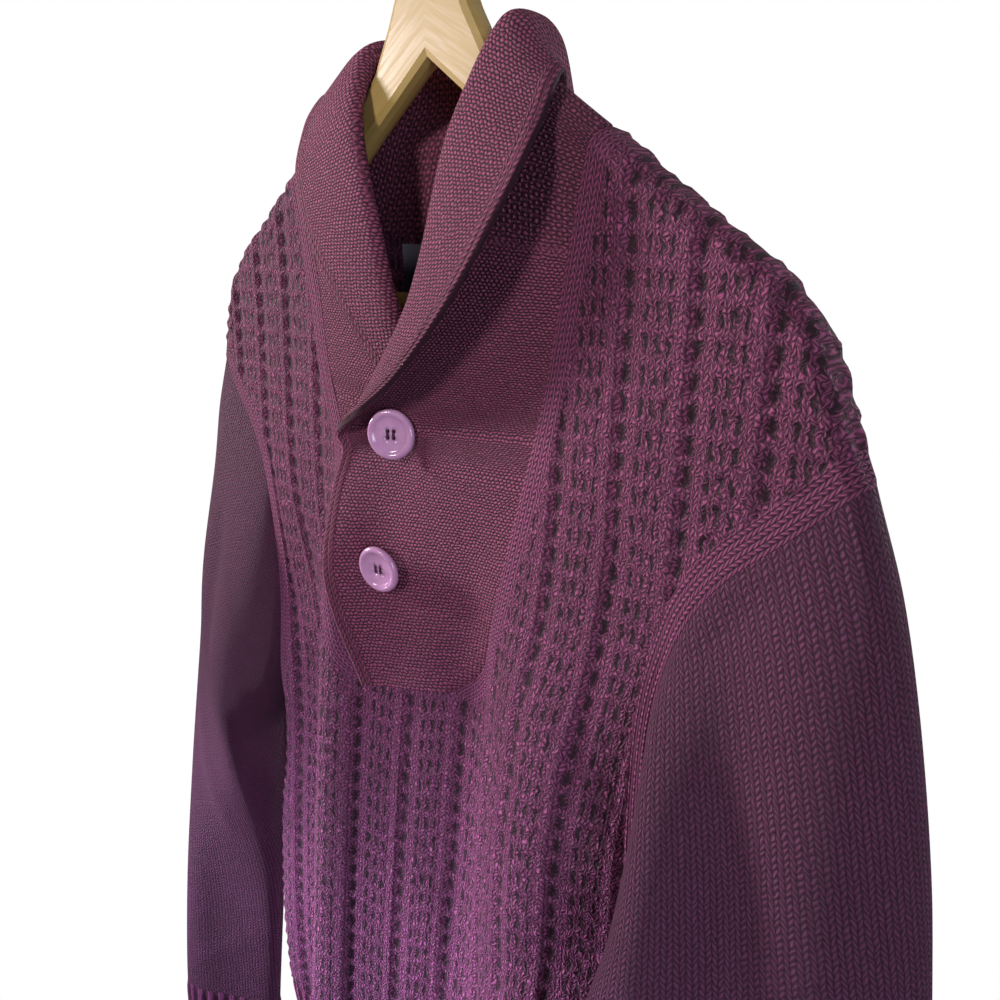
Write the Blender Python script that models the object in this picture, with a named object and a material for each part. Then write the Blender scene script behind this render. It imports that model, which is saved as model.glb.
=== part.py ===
"""Shawl collar sweater hanging on a flat wooden hanger.

Front and back panels, two sleeves with ribbed cuffs, a ribbed hem, a shawl collar knitted as two
bands that run from the placket to the back neck, two buttons and a blank neck label. The hanger
is a flat board with a bar and a wire hook. The origin is the seat of the hook, +X is the wearer's
left, -Y is the front and +Z is up. Every wall is built from one smooth surface for each panel.
"""

import math

import bmesh
import bpy
import numpy as np
from mathutils import Matrix, Vector

for old in list(bpy.data.objects):
    bpy.data.objects.remove(old, do_unlink=True)

# ---------------------------------------------------------------- driving dimensions, metres
NOTCH_Z = -0.125            # hook seat down to the tip of the hanger's notch; drops start here
CLOTH = 0.003               # wall of the body, sleeves, cuffs and hem
FOOT_TILT = 0.13            # the foot of the inset hangs lower on the wearer's right
BAND = 0.0028               # wall of the collar bands
SEAM = 0.0004               # gap between two pieces that are sewn together
LAYER = 0.0052              # from the right band's face to the left band's face over it
OVERLAP_LEAD = 0.008        # the left band has risen this far before the right band's edge
FOLD_PLACE = 6.25           # seam place above which the bands fold over
STAND_SAG = 0.003           # how far the stand sags away from the fall
ROLL_SIZE = 0.006           # roundness of the collar's roll line
STAND_PULL = 0.4            # share of the stand that leaves the seam straight
FALL_PULL = 0.45            # share of the fall, from its edge, that lies straight
NECK_X = 0.112              # half width between the neck points, at the shoulder seam
NECK_DROP = 0.039
BACK_NECK_DEPTH = 0.044     # neck points down to the middle of the back neck
TIP_X = 0.235               # half width of the shoulders at the armhole seams
TIP_DROP = 0.162
UNDERARM_DROP = 0.413
RIB_DROP = 0.655            # where the hem rib starts
HEM_DROP = 0.722
SHOULDER_ROUND = 0.010      # height over which the cloth rounds over the hanger's edge
SHOULDER_HALF = 0.0125      # half thickness of the garment just under the shoulder seam
SHOULDER_POWER = 5.0        # how squarely the shoulder ends at the armhole
SIDE_POWER = 2.6            # roundness of the garment's sections at the side seams
SHOULDER_SLOPE = 0.62       # slope of the shoulder seam where it runs on under the collar
SWELL_DROP = 0.06           # distance under the shoulder over which the fullness grows
BACK_INNER_X = 0.085        # half width of the back's middle columns at the underarm
FOLD_RISE = 0.13            # length over which a fold grows, then dies away
FOLD_FALL = 0.10

# Shoulder seam, from the neck point to the tip of the shoulder.
#                 x      drop
SHOULDER_LINE = ((0.106, 0.0335),
                 (0.127, 0.0470),
                 (0.156, 0.0670),
                 (0.180, 0.0815),
                 (0.200, 0.0965),
                 (0.212, 0.1110),
                 (0.221, 0.1310),
                 (0.228, 0.1480),
                 (0.235, 0.1620))

# Seam between the plain inset and the textured front: half widths on the wearer's left and right.
#             drop    left   right
INSET_SEAM = ((0.0390, 0.112, 0.112),
              (0.1000, 0.098, 0.098),
              (0.1650, 0.086, 0.083),
              (0.1900, 0.080, 0.069),
              (0.2150, 0.074, 0.059),
              (0.2500, 0.064, 0.051),
              (0.2900, 0.050, 0.041),
              (0.3235, 0.041, 0.030))

#          x      drop
ARMHOLE = ((0.235, 0.162),
           (0.214, 0.183),
           (0.188, 0.208),
           (0.171, 0.236),
           (0.163, 0.268),
           (0.161, 0.310),
           (0.166, 0.362),
           (0.178, 0.413))

# Horizontal sections: half width to the side seam, middle plane, fullness of front and back.
#           drop   side_x  mid_y  front  back
SECTIONS = ((0.00, 0.300, 0.000, 0.000, 0.000),
            (0.12, 0.285, 0.000, 0.000, 0.004),
            (0.20, 0.258, 0.000, 0.004, 0.012),
            (0.28, 0.228, 0.000, 0.012, 0.020),
            (0.35, 0.198, 0.000, 0.020, 0.026),
            (0.413, 0.178, 0.000, 0.026, 0.030),
            (0.50, 0.186, -0.002, 0.032, 0.034),
            (0.60, 0.190, -0.004, 0.036, 0.036),
            (0.655, 0.188, -0.005, 0.033, 0.034),
            (0.722, 0.178, -0.005, 0.026, 0.028))

# Long soft folds; a positive depth stands out from the panel.
#               x_top   x_foot  start  end    width  depth
FRONT_FOLDS = ((-0.050, -0.056, 0.150, 0.900, 0.025, 0.023),
               (0.036, 0.044, 0.180, 0.900, 0.030, -0.018),
               (0.104, 0.118, 0.240, 0.900, 0.032, 0.012),
               (-0.125, -0.130, 0.230, 0.900, 0.038, -0.023),
               (0.150, 0.150, 0.180, 0.420, 0.022, -0.005))
BACK_FOLDS = ((-0.070, -0.085, 0.180, 0.900, 0.036, 0.012),
              (0.000, 0.010, 0.220, 0.900, 0.034, -0.010),
              (0.078, 0.092, 0.200, 0.900, 0.036, 0.013),
              (0.136, 0.140, 0.280, 0.900, 0.024, -0.008))

# Sleeves as they hang: outer edge, inner edge, half the depth, and how far the front is pushed
# inward and forward over the body. The left one hangs before the body, the right one beside it.
#               out_x  out_y   out_drop in_x  in_y    in_drop depth  inward forward
SLEEVE_LEFT = ((0.235, 0.000, 0.162, 0.1780, 0.000, 0.4130, 0.022, 0.000, 0.000),
               (0.248, 0.000, 0.198, 0.1830, -0.003, 0.4260, 0.028, 0.002, 0.014),
               (0.259, 0.000, 0.240, 0.1860, -0.009, 0.4400, 0.031, 0.014, 0.022),
               (0.270, 0.000, 0.290, 0.1860, -0.019, 0.4560, 0.032, 0.034, 0.026),
               (0.280, 0.000, 0.344, 0.1800, -0.034, 0.4760, 0.031, 0.046, 0.028),
               (0.292, -0.003, 0.420, 0.1700, -0.052, 0.5060, 0.027, 0.040, 0.018),
               (0.301, -0.010, 0.500, 0.1620, -0.067, 0.5520, 0.024, 0.022, 0.008),
               (0.308, -0.020, 0.605, 0.1780, -0.077, 0.6220, 0.022, 0.004, 0.002),
               (0.306, -0.031, 0.705, 0.2080, -0.078, 0.7070, 0.020, 0.000, 0.000),
               (0.302, -0.035, 0.779, 0.2200, -0.078, 0.7810, 0.018, 0.000, 0.000))
SLEEVE_RIGHT = ((0.235, 0.000, 0.162, 0.1780, 0.000, 0.4130, 0.022, 0.000, 0.000),
                (0.245, -0.003, 0.198, 0.1830, -0.004, 0.4240, 0.027, 0.000, 0.002),
                (0.253, -0.006, 0.240, 0.1870, -0.008, 0.4360, 0.030, 0.000, 0.006),
                (0.261, -0.012, 0.290, 0.1900, -0.010, 0.4500, 0.032, 0.004, 0.010),
                (0.267, -0.018, 0.344, 0.1930, -0.012, 0.4680, 0.031, 0.012, 0.012),
                (0.274, -0.030, 0.420, 0.1960, -0.015, 0.4980, 0.028, 0.018, 0.010),
                (0.280, -0.042, 0.500, 0.1960, -0.018, 0.5450, 0.026, -0.004, 0.002),
                (0.285, -0.057, 0.605, 0.1990, -0.023, 0.6200, 0.024, -0.020, -0.004),
                (0.284, -0.070, 0.705, 0.2030, -0.029, 0.7070, 0.020, -0.014, -0.003),
                (0.280, -0.074, 0.779, 0.2070, -0.033, 0.7810, 0.018, -0.008, 0.000))
FRONT_PUSH = 0.62           # half turns round the sleeve, from its outer edge, of the pushed place
FRONT_PUSH_WIDTH = 0.26
SLEEVE_POWER = 0.9          # roundness of a sleeve's section
CUFF_ROW = 8.0              # row of the table where the ribbed cuff starts
UNDERARM_LEAN = 1.4         # how far the seam's normal leans down where panel and sleeve face
HEAD_ROWS = 4.0             # rows over which the armhole's curve fades out of the sleeve

# Free edge of each placket band and how far it stands off the front.
#                drop    left_x  left_lift right_x  right_lift
PLACKET_EDGE = ((0.1900, -0.047, 0.0120, 0.020, 0.0015),
                (0.2150, -0.053, 0.0080, 0.020, 0.0000),
                (0.2500, -0.050, 0.0064, 0.018, 0.0000),
                (0.2900, -0.038, 0.0058, 0.015, 0.0000),
                (0.3235, -0.026, 0.0056, 0.012, 0.0000))

# Shawl collar from the top of the placket to the middle of the back neck. The seam place counts
# yoke rows down the inset seam, 0 at the neck point, and -4 is the middle of the back neck. The
# roll is the fold line and the edge is the free edge, which lies folded over the outside.
#               place roll_x  roll_y  roll_drop edge_x edge_y  edge_drop
COLLAR_LEFT = ((6.0, -0.043, -0.0300, 0.181, -0.0455, -0.0370, 0.181),
               (5.0, -0.006, -0.0345, 0.144, 0.018, -0.0440, 0.146),
               (4.0, 0.020, -0.0340, 0.110, 0.060, -0.0430, 0.107),
               (3.0, 0.032, -0.0310, 0.077, 0.081, -0.0380, 0.076),
               (2.0, 0.037, -0.0250, 0.045, 0.091, -0.0300, 0.052),
               (1.0, 0.043, -0.0160, 0.018, 0.090, -0.0160, 0.032),
               (0.0, 0.050, 0.0000, -0.009, 0.086, 0.0010, 0.0130),
               (-0.5, 0.049, 0.0100, -0.008, 0.081, 0.0140, 0.021),
               (-1.0, 0.047, 0.0190, -0.006, 0.073, 0.0270, 0.036),
               (-2.0, 0.036, 0.0310, -0.002, 0.054, 0.0430, 0.053),
               (-3.0, 0.019, 0.0350, 0.000, 0.030, 0.0450, 0.062),
               (-4.0, 0.000, 0.0360, 0.002, 0.000, 0.0460, 0.066))
COLLAR_RIGHT = ((6.0, 0.019, -0.0078, 0.183, 0.0180, -0.0148, 0.1835),
                (5.0, 0.001, -0.0135, 0.146, -0.022, -0.0205, 0.151),
                (4.0, -0.016, -0.0175, 0.111, -0.055, -0.0265, 0.113),
                (3.0, -0.028, -0.0175, 0.077, -0.081, -0.0260, 0.080),
                (2.0, -0.039, -0.0170, 0.043, -0.096, -0.0220, 0.055),
                (1.0, -0.046, -0.0135, 0.014, -0.097, -0.0180, 0.033),
                (0.0, -0.051, 0.0000, -0.009, -0.090, -0.0030, 0.008),
                (-1.0, -0.048, 0.0200, -0.010, -0.076, 0.0310, 0.028),
                (-2.0, -0.036, 0.0310, -0.005, -0.055, 0.0400, 0.050),
                (-3.0, -0.019, 0.0350, 0.000, -0.030, 0.0450, 0.062),
                (-4.0, 0.000, 0.0360, 0.002, 0.000, 0.0460, 0.066))

# Buttons on the left band; turn is toward the wearer's left and tilt is upward, degrees.
#           x       drop    turn  tilt
BUTTONS = ((-0.006, 0.1785, 28.0, 2.0),
           (-0.0145, 0.2545, 14.0, -6.0))
BUTTON_RADIUS = 0.0135
BUTTON_THICK = 0.0038
BUTTON_HOLE_RADIUS = 0.0011
BUTTON_HOLE_SPREAD = 0.0022
BUTTON_HOLE_SIDES = 10
BUTTON_STEPS = 28
BUTTON_CLEAR = 0.0004       # behind the button's back, where the thread is
#                 radius height, as shares, from the middle of the back over the rim to the front
BUTTON_PROFILE = ((0.00, 0.00),
                  (0.60, 0.00),
                  (0.93, 0.14),
                  (1.00, 0.40),
                  (0.97, 0.78),
                  (0.86, 1.00),
                  (0.72, 0.98),
                  (0.60, 0.66),
                  (0.00, 0.60))

LABEL_WIDTH = 0.062
LABEL_SHIFT = 0.014          # toward the wearer's right
LABEL_HEIGHT = 0.038
LABEL_THICK = 0.0008
LABEL_CLEAR = 0.0006
LABEL_TOP = 0.0012          # from the neck seam down to the label

BOARD_THICK = 0.012
BAR_RADIUS = 0.005
BAR_DROP = 0.114
BAR_HALF = 0.170
BOARD_TIP = 0.200
BOARD_TIP_SHARE = 0.55      # thickness at the tips, as a share
BOARD_EDGE = 0.0045         # rounding of the board's edges
ARM_START = 0.120           # half width from which the board follows the shoulder seam
THIN_START = 0.090          # half width from which the board grows thinner
ROUND_SIDES = 20
BOARD_CLEAR = 0.0027        # between the board's top edge and the cloth that rests on it
HOOK_WIRE = 0.0018
HOOK_INNER = 0.021
HOOK_STEM = 0.010           # straight stem above the board
HOOK_PULL = 0.009           # how straight the wire leaves the stem
HOOK_START = -45.0          # the round part of the hook: its first angle and its sweep, degrees
HOOK_SWEEP = 250.0
HOOK_NECK_STEPS = 8
HOOK_ROUND_STEPS = 32

# Top edge of the hanger board where it shows inside the collar, then the arm's lower edge.
#             x      drop
BOARD_NECK = ((0.0105, -0.056),
              (0.0180, -0.044),
              (0.0310, -0.019),
              (0.0440, 0.001),
              (0.0600, 0.0165),
              (0.0800, 0.0315),
              (0.1000, 0.0440))
BOARD_UNDER = ((0.204, 0.1200),
               (0.203, 0.1280),
               (0.194, 0.1325),
               (0.178, 0.1275),
               (0.150, 0.1060),
               (0.100, 0.0690),
               (0.045, 0.0300))

# Steps of the meshes. Rows of the yoke are shared by the panels, sleeves and collar, with one
# more just under the shoulder seam; the middle columns of the back crowd at the neck points.
YOKE_COUNT = 12
INSET_COUNT = 10            # yoke rows down to the foot of the inset
YOKE_ROWS = np.concatenate([[0.0, 0.04], np.arange(1, YOKE_COUNT + 1) / YOKE_COUNT])
YOKE_POWER = 1.5            # rows crowd toward the shoulder along the inset seam
SKIRT_STEPS = 8
HEM_STEPS = 2
SIDE_STEPS = 7
MIDDLE = 0.3                # share of a row between the inset seams
FRONT_MIDDLE = (0.0, 0.34, 0.67, 1.0)
BACK_MIDDLE = (0.0, 0.40, 0.75, 0.92, 0.98, 1.0)
BACK_NECK_POWER = 5.0
SLEEVE_STEPS = 13
CUFF_STEPS = 2
STAND_PARTS = (0.0, 0.22, 0.44, 0.64, 0.80, 0.92, 1.0)
FALL_PARTS = (0.10, 0.26, 0.48, 0.74, 1.0)
COLLAR_ROWS = (10, 9, 8, 7, 6.5, 6, 5.5, 5, 4.5, 4, 3.5, 3, 2.5, 2, 1.5, 1, 0.48, 0)

INSET_DROP = NECK_DROP + (UNDERARM_DROP - NECK_DROP) * (INSET_COUNT / YOKE_COUNT) ** YOKE_POWER


# ---------------------------------------------------------------- smooth tables
def through(knots, values, at):
    """Smooth cubic curve through the values of a short table."""
    knots = np.asarray(knots, float)
    values = np.asarray(values, float)
    at = np.asarray(at, float)
    slopes = np.gradient(values, knots, axis=0)
    span = np.clip(np.searchsorted(knots, at, side="right") - 1, 0, len(knots) - 2)
    width = knots[span + 1] - knots[span]
    part = np.clip((at - knots[span]) / width, 0.0, 1.0)
    if values.ndim > 1:
        width = width[..., None]
        part = part[..., None]
    start = values[span]
    finish = values[span + 1]
    return ((2 * part ** 3 - 3 * part ** 2 + 1) * start
            + (part ** 3 - 2 * part ** 2 + part) * width * slopes[span]
            + (3 * part ** 2 - 2 * part ** 3) * finish
            + (part ** 3 - part ** 2) * width * slopes[span + 1])


def split(values):
    """The columns of an array of rows, one by one."""
    return np.moveaxis(values, -1, 0)


def mix(start, finish, part):
    """Value that lies a part of the way from start to finish."""
    return start + (finish - start) * part


def smooth_step(low, high, at):
    """0 up to low, 1 from high on, and smooth between them."""
    part = np.clip((np.asarray(at, float) - low) / (high - low), 0.0, 1.0)
    return part * part * (3.0 - 2.0 * part)


# ---------------------------------------------------------------- the body's surface
def shoulder_drop(x):
    """Drop of the shoulder seam at a half width, running on straight inside the neck point."""
    x = np.abs(x)
    line = np.array(SHOULDER_LINE)
    inside = line[0, 1] + (x - line[0, 0]) * SHOULDER_SLOPE
    return np.where(x < line[0, 0], inside, through(line[:, 0], line[:, 1], x))


def inset_half_width(side, drop):
    """Half width of the inset at a drop, on the side that the sign gives."""
    table = np.array(INSET_SEAM)
    left, right = split(through(table[:, 0], table[:, 1:], drop))
    return np.where(np.asarray(side) < 0.0, right, left)


def inset_tilt(yoke):
    """Slope of the rows across the inset, which grows toward its foot."""
    return FOOT_TILT * smooth_step(0.4, 0.8, yoke)


def fold_height(folds, x, drop):
    """Sum of the long folds at a place on a panel."""
    total = np.zeros(np.broadcast(x, drop).shape)
    for x_top, x_foot, start, end, width, depth in folds:
        centre = mix(x_top, x_foot, np.clip((drop - start) / (end - start), 0.0, 1.0))
        fade = smooth_step(start, start + FOLD_RISE, drop)
        fade = fade * (1.0 - smooth_step(end - FOLD_FALL, end, drop))
        total = total + depth * fade * np.exp(-((x - centre) / width) ** 2)
    return total


def body_y(face, x, drop):
    """Outer surface of the body at (x, drop); face is -1 for the front and +1 for the back."""
    table = np.array(SECTIONS)
    side_x, mid_y, front, back = split(through(table[:, 0], table[:, 1:], drop))
    across = np.clip(np.abs(x) / side_x, 0.0, 1.0)
    lens = (1.0 - across ** SIDE_POWER) ** (1.0 / SIDE_POWER)
    below = np.clip((drop - shoulder_drop(x)) / SHOULDER_ROUND, 0.0, 1.0)
    tip = np.sqrt(1.0 - across ** SHOULDER_POWER)
    edge = SHOULDER_HALF * np.sqrt(1.0 - (1.0 - below) ** 2)
    if face < 0:
        fullness = front
        folds = fold_height(FRONT_FOLDS, x, drop)
    else:
        fullness = back
        folds = fold_height(BACK_FOLDS, x, drop)
    swell = fullness * smooth_step(0.0, SWELL_DROP, drop - shoulder_drop(x))
    return mid_y + face * (tip * edge + lens * swell + folds * (1.0 - across ** 4))


def body_point(face, across, down):
    """Point of the body: across runs -1 to 1, down 0 to 1 (yoke), 2 (skirt) and 3 (hem)."""
    across, down = np.broadcast_arrays(np.asarray(across, float), np.asarray(down, float))
    yoke = np.clip(down, 0.0, 1.0)
    skirt = np.clip(down - 1.0, 0.0, 1.0)
    rib = np.clip(down - 2.0, 0.0, 1.0)
    armhole = np.array(ARMHOLE)
    places = np.linspace(0.0, 1.0, len(ARMHOLE))
    outer_x, outer_drop = split(through(places, armhole, 0.5 - 0.5 * np.cos(math.pi * yoke)))
    lower = (RIB_DROP - UNDERARM_DROP) * skirt + (HEM_DROP - RIB_DROP) * rib
    section = np.array(SECTIONS)
    side_x = through(section[:, 0], section[:, 1], outer_drop + lower)
    outer_x = np.where(down > 1.0, side_x, outer_x)
    inner_drop = mix(NECK_DROP, UNDERARM_DROP, yoke ** YOKE_POWER)
    inner_x = inset_half_width(across, np.minimum(inner_drop, INSET_DROP))
    if face > 0:
        inner_x = mix(NECK_X, BACK_INNER_X, smooth_step(0.0, 1.0, yoke))
    part = np.clip((np.abs(across) - MIDDLE) / (1.0 - MIDDLE), 0.0, 1.0)
    eased = np.sin(part * math.pi / 2.0)
    size = np.where(np.abs(across) < MIDDLE, inner_x * np.abs(across) / MIDDLE,
                    mix(inner_x, outer_x, eased))
    x = np.sign(across) * size
    start_x = mix(NECK_X, TIP_X, eased)
    bend = shoulder_drop(start_x) - mix(NECK_DROP, TIP_DROP, eased)
    drop = mix(inner_drop, outer_drop, eased) + bend * (1.0 - yoke) ** 2
    if face > 0:
        dip = BACK_NECK_DEPTH * (1.0 - (np.abs(across) / MIDDLE) ** BACK_NECK_POWER)
        drop = drop + np.where(np.abs(across) < MIDDLE, dip * (1.0 - yoke), 0.0)
    else:
        fade = (1.0 - smooth_step(0.0, 0.3, skirt)) * (1.0 - eased)
        drop = drop - inset_tilt(yoke) * x * fade
    drop = drop + lower
    y = body_y(face, x, drop)
    return np.stack([x, y, NOTCH_Z - drop], axis=-1)


# ---------------------------------------------------------------- walls
def surface_normals(surface, rows, columns, outward):
    """Unit normals of surface(column, row) on a grid, turned to the side that outward gives."""
    step = 1e-4
    low_c = surface(np.maximum(columns - step, columns.min()), rows)
    high_c = surface(np.minimum(columns + step, columns.max()), rows)
    low_r = surface(columns, np.maximum(rows - step, rows.min()))
    high_r = surface(columns, np.minimum(rows + step, rows.max()))
    normals = np.cross(high_c - low_c, high_r - low_r)
    normals /= np.maximum(np.linalg.norm(normals, axis=-1, keepdims=True), 1e-12)
    turned = np.sum(normals * outward, axis=-1, keepdims=True)
    return np.where(turned < 0.0, -normals, normals)


def shrink_edges(grid, closed, amount):
    """Pull the open edges of a grid of points in by half a seam gap."""
    moved = grid.copy()

    def pull(edge, inner):
        way = inner - edge
        return amount * way / np.maximum(np.linalg.norm(way, axis=-1, keepdims=True), 1e-9)

    moved[0] += pull(grid[0], grid[1])
    moved[-1] += pull(grid[-1], grid[-2])
    if not closed:
        moved[:, 0] += pull(grid[:, 0], grid[:, 1])
        moved[:, -1] += pull(grid[:, -1], grid[:, -2])
    return moved


def add_object(name, bm, material):
    mesh = bpy.data.meshes.new(name)
    bm.to_mesh(mesh)
    bm.free()
    mesh.materials.append(material)
    thing = bpy.data.objects.new(name, mesh)
    bpy.context.collection.objects.link(thing)
    mesh.shade_smooth()
    mesh.set_sharp_from_angle(angle=math.radians(50.0))
    return thing


def wall(name, outer, inner, material, closed=False, kept=None):
    """Closed wall between two grids of points, rows by columns."""
    rows, columns = outer.shape[:2]
    cells = columns if closed else columns - 1
    if kept is None:
        kept = np.ones((rows - 1, cells), bool)
    bm = bmesh.new()
    sheets = []
    for grid in (outer, inner):
        sheets.append([[bm.verts.new(point) for point in row] for row in grid])
    borders = {}
    for i in range(rows - 1):
        for j in range(cells):
            if not kept[i, j]:
                continue
            k = (j + 1) % columns
            corners = ((i, j), (i, k), (i + 1, k), (i + 1, j))
            bm.faces.new([sheets[0][a][b] for a, b in corners])
            bm.faces.new([sheets[1][a][b] for a, b in reversed(corners)])
            for here, there in zip(corners, corners[1:] + corners[:1]):
                if borders.pop((there, here), None) is None:
                    borders[(here, there)] = True
    for (a, b), (c, d) in borders:
        bm.faces.new((sheets[0][c][d], sheets[0][a][b], sheets[1][a][b], sheets[1][c][d]))
    bmesh.ops.delete(bm, geom=[v for v in bm.verts if not v.link_faces], context="VERTS")
    bmesh.ops.triangulate(bm, faces=bm.faces)
    if bm.calc_volume(signed=True) < 0.0:
        bmesh.ops.reverse_faces(bm, faces=bm.faces)
    return add_object(name, bm, material)


def make_material(name, colour, roughness, metallic=0.0):
    material = bpy.data.materials.new(name)
    material.use_nodes = True
    shader = material.node_tree.nodes["Principled BSDF"]
    shader.inputs["Base Color"].default_value = (*colour, 1.0)
    shader.inputs["Roughness"].default_value = roughness
    shader.inputs["Metallic"].default_value = metallic
    return material


# ---------------------------------------------------------------- front, back and hem
def across_steps(face):
    """Columns of a panel, from -1 to 1 across it."""
    middle = MIDDLE * np.array(FRONT_MIDDLE if face < 0 else BACK_MIDDLE)
    side = np.linspace(MIDDLE, 1.0, SIDE_STEPS + 1)[1:]
    half = np.concatenate([middle, side])
    return np.concatenate([-half[:0:-1], half])


def body_grid(face, downs):
    """Outer points and normals of a panel on the given rows."""
    columns, rows = np.meshgrid(across_steps(face), downs)

    def surface(column, row):
        return body_point(face, column, row)

    outer = surface(columns, rows)
    side = np.where(np.abs(columns) > 0.9, 0.3 * np.sign(columns), 0.0)
    outward = np.stack([side, np.full_like(columns, float(face)), np.zeros_like(columns)], -1)
    outward[0, :, 2] = 0.5
    normals = surface_normals(surface, rows, columns, outward)
    for i, down in enumerate(downs):
        if down <= 1.0:
            normals[i, 0] = armhole_normal(-1, -face * math.pi * down)
            normals[i, -1] = armhole_normal(1, -face * math.pi * down)
    return outer, normals


def build_body(face, name, hem_name, material, rib_material):
    skirt = np.linspace(1.0, 2.0, SKIRT_STEPS + 1)[1:]
    outer, normals = body_grid(face, np.concatenate([YOKE_ROWS, skirt]))
    inner = outer - normals * CLOTH
    shift = shrink_edges(outer, False, SEAM / 2) - outer
    kept = np.ones((outer.shape[0] - 1, outer.shape[1] - 1), bool)
    if face < 0:
        foot = INSET_COUNT + 1
        right = SIDE_STEPS
        left = SIDE_STEPS + 2 * (len(FRONT_MIDDLE) - 1)
        kept[:foot, right:left] = False
        for column, way in ((right, -1), (left, 1)):
            along = outer[:foot + 1, column + way] - outer[:foot + 1, column]
            along /= np.linalg.norm(along, axis=-1, keepdims=True)
            shift[:foot + 1, column] += along * SEAM / 2
        shift[foot, right:left + 1, 2] -= SEAM / 2
    wall(name, outer + shift, inner + shift, material, kept=kept)
    hem_rows = np.linspace(2.0, 3.0, HEM_STEPS + 1)
    outer, normals = body_grid(face, hem_rows)
    shift = shrink_edges(outer, False, SEAM / 2) - outer
    wall(hem_name, outer + shift, outer - normals * CLOTH + shift, rib_material)


# ---------------------------------------------------------------- sleeves and cuffs
def armhole_loop(side, turns):
    """Points of the armhole seam; turns run from the shoulder tip, down the front, up the back."""
    front = np.sin(turns) >= 0.0
    place = 0.5 - 0.5 * np.cos(turns)
    armhole = np.array(ARMHOLE)
    x, drop = split(through(np.linspace(0.0, 1.0, len(ARMHOLE)), armhole, place))
    y = np.where(front, body_y(-1, side * x, drop), body_y(1, side * x, drop))
    return np.stack([side * x, y, NOTCH_Z - drop], axis=-1)


def sleeve_point(side, turns, rows):
    """Point of a sleeve: rows follow the SLEEVE table, turns run round it."""
    turns, rows = np.broadcast_arrays(np.asarray(turns, float), np.asarray(rows, float))
    table = np.array(SLEEVE_LEFT if side > 0 else SLEEVE_RIGHT)
    places = np.arange(len(table), dtype=float)

    def edges(at):
        values = through(places, table, at)
        out = np.stack([side * values[..., 0], values[..., 1], NOTCH_Z - values[..., 2]], -1)
        inn = np.stack([side * values[..., 3], values[..., 4], NOTCH_Z - values[..., 5]], -1)
        push = np.stack([-side * values[..., 7], -values[..., 8], 0.0 * values[..., 8]], -1)
        return out, inn, values[..., 6:7], push

    def ring(at):
        out, inn, depth, push = edges(at)
        out_next, inn_next, _, _ = edges(at + 0.3)
        out_last, inn_last, _, _ = edges(at - 0.3)
        half = (out - inn) / 2
        axis = (out_next + inn_next) - (out_last + inn_last)
        forward = np.cross(half, axis)
        forward /= np.linalg.norm(forward, axis=-1, keepdims=True)
        forward *= np.where(forward[..., 1:2] > 0.0, -1.0, 1.0)
        cosine = np.cos(turns)[..., None]
        sine = np.sin(turns)[..., None]
        bulge = np.sign(sine) * np.abs(sine) ** SLEEVE_POWER
        away = (turns / math.pi - FRONT_PUSH + 1.0) % 2.0 - 1.0
        fold = np.exp(-(away / FRONT_PUSH_WIDTH) ** 2)[..., None]
        return (out + inn) / 2 + half * cosine + forward * depth * bulge + push * fold

    fade = (1.0 - smooth_step(0.0, HEAD_ROWS, rows))[..., None]
    head = armhole_loop(side, turns) - ring(np.zeros_like(rows))
    return ring(rows) + head * fade


def armhole_normal(side, turn):
    """Normal that panel and sleeve share on the armhole seam: the mean of their own."""
    face = -1 if math.sin(turn) >= -1e-9 else 1
    place = abs(turn) / math.pi
    step = 1e-3
    edge = body_point(face, side, place)
    inward = body_point(face, side * (1.0 - step), place)
    later = body_point(face, side, min(place + step, 1.0))
    sooner = body_point(face, side, max(place - step, 0.0))
    panel = np.cross(inward - edge, later - sooner)
    panel /= np.linalg.norm(panel)
    panel *= np.sign(np.dot(panel, np.array([side * 0.3, float(face), 0.5 * (1.0 - place)])))
    near = 0.5
    around = sleeve_point(side, turn + step, near) - sleeve_point(side, turn - step, near)
    along = sleeve_point(side, turn, near + step) - sleeve_point(side, turn, near - step)
    tube = side * np.cross(around, along)
    tube /= np.linalg.norm(tube)
    facing = (1.0 - np.dot(panel, tube)) / 2
    mean = panel + tube + np.array([0.0, 0.0, -UNDERARM_LEAN * facing])
    return mean / np.linalg.norm(mean)


def build_sleeve(side, name, cuff_name, material, rib_material):
    turns = math.pi * np.concatenate([YOKE_ROWS, -YOKE_ROWS[-2:0:-1]])
    long_rows = mix(0.0, CUFF_ROW, np.linspace(0.0, 1.0, SLEEVE_STEPS + 1))
    cuff_rows = np.linspace(CUFF_ROW, len(SLEEVE_LEFT) - 1.0, CUFF_STEPS + 1)
    for piece, rows, fabric in ((name, long_rows, material), (cuff_name, cuff_rows, rib_material)):
        columns, downs = np.meshgrid(turns, rows)
        outer = sleeve_point(side, columns, downs)
        step = 1e-3
        around = sleeve_point(side, columns + step, downs) - sleeve_point(side, columns - step, downs)
        along = sleeve_point(side, columns, downs + step) - sleeve_point(side, columns, downs - step)
        normals = side * np.cross(around, along)
        normals /= np.linalg.norm(normals, axis=-1, keepdims=True)
        if piece == name:
            normals[0] = [armhole_normal(side, turn) for turn in turns]
        shift = shrink_edges(outer, True, SEAM * 0.8) - outer
        wall(piece, outer + shift, outer - normals * CLOTH + shift, fabric, closed=True)


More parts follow.
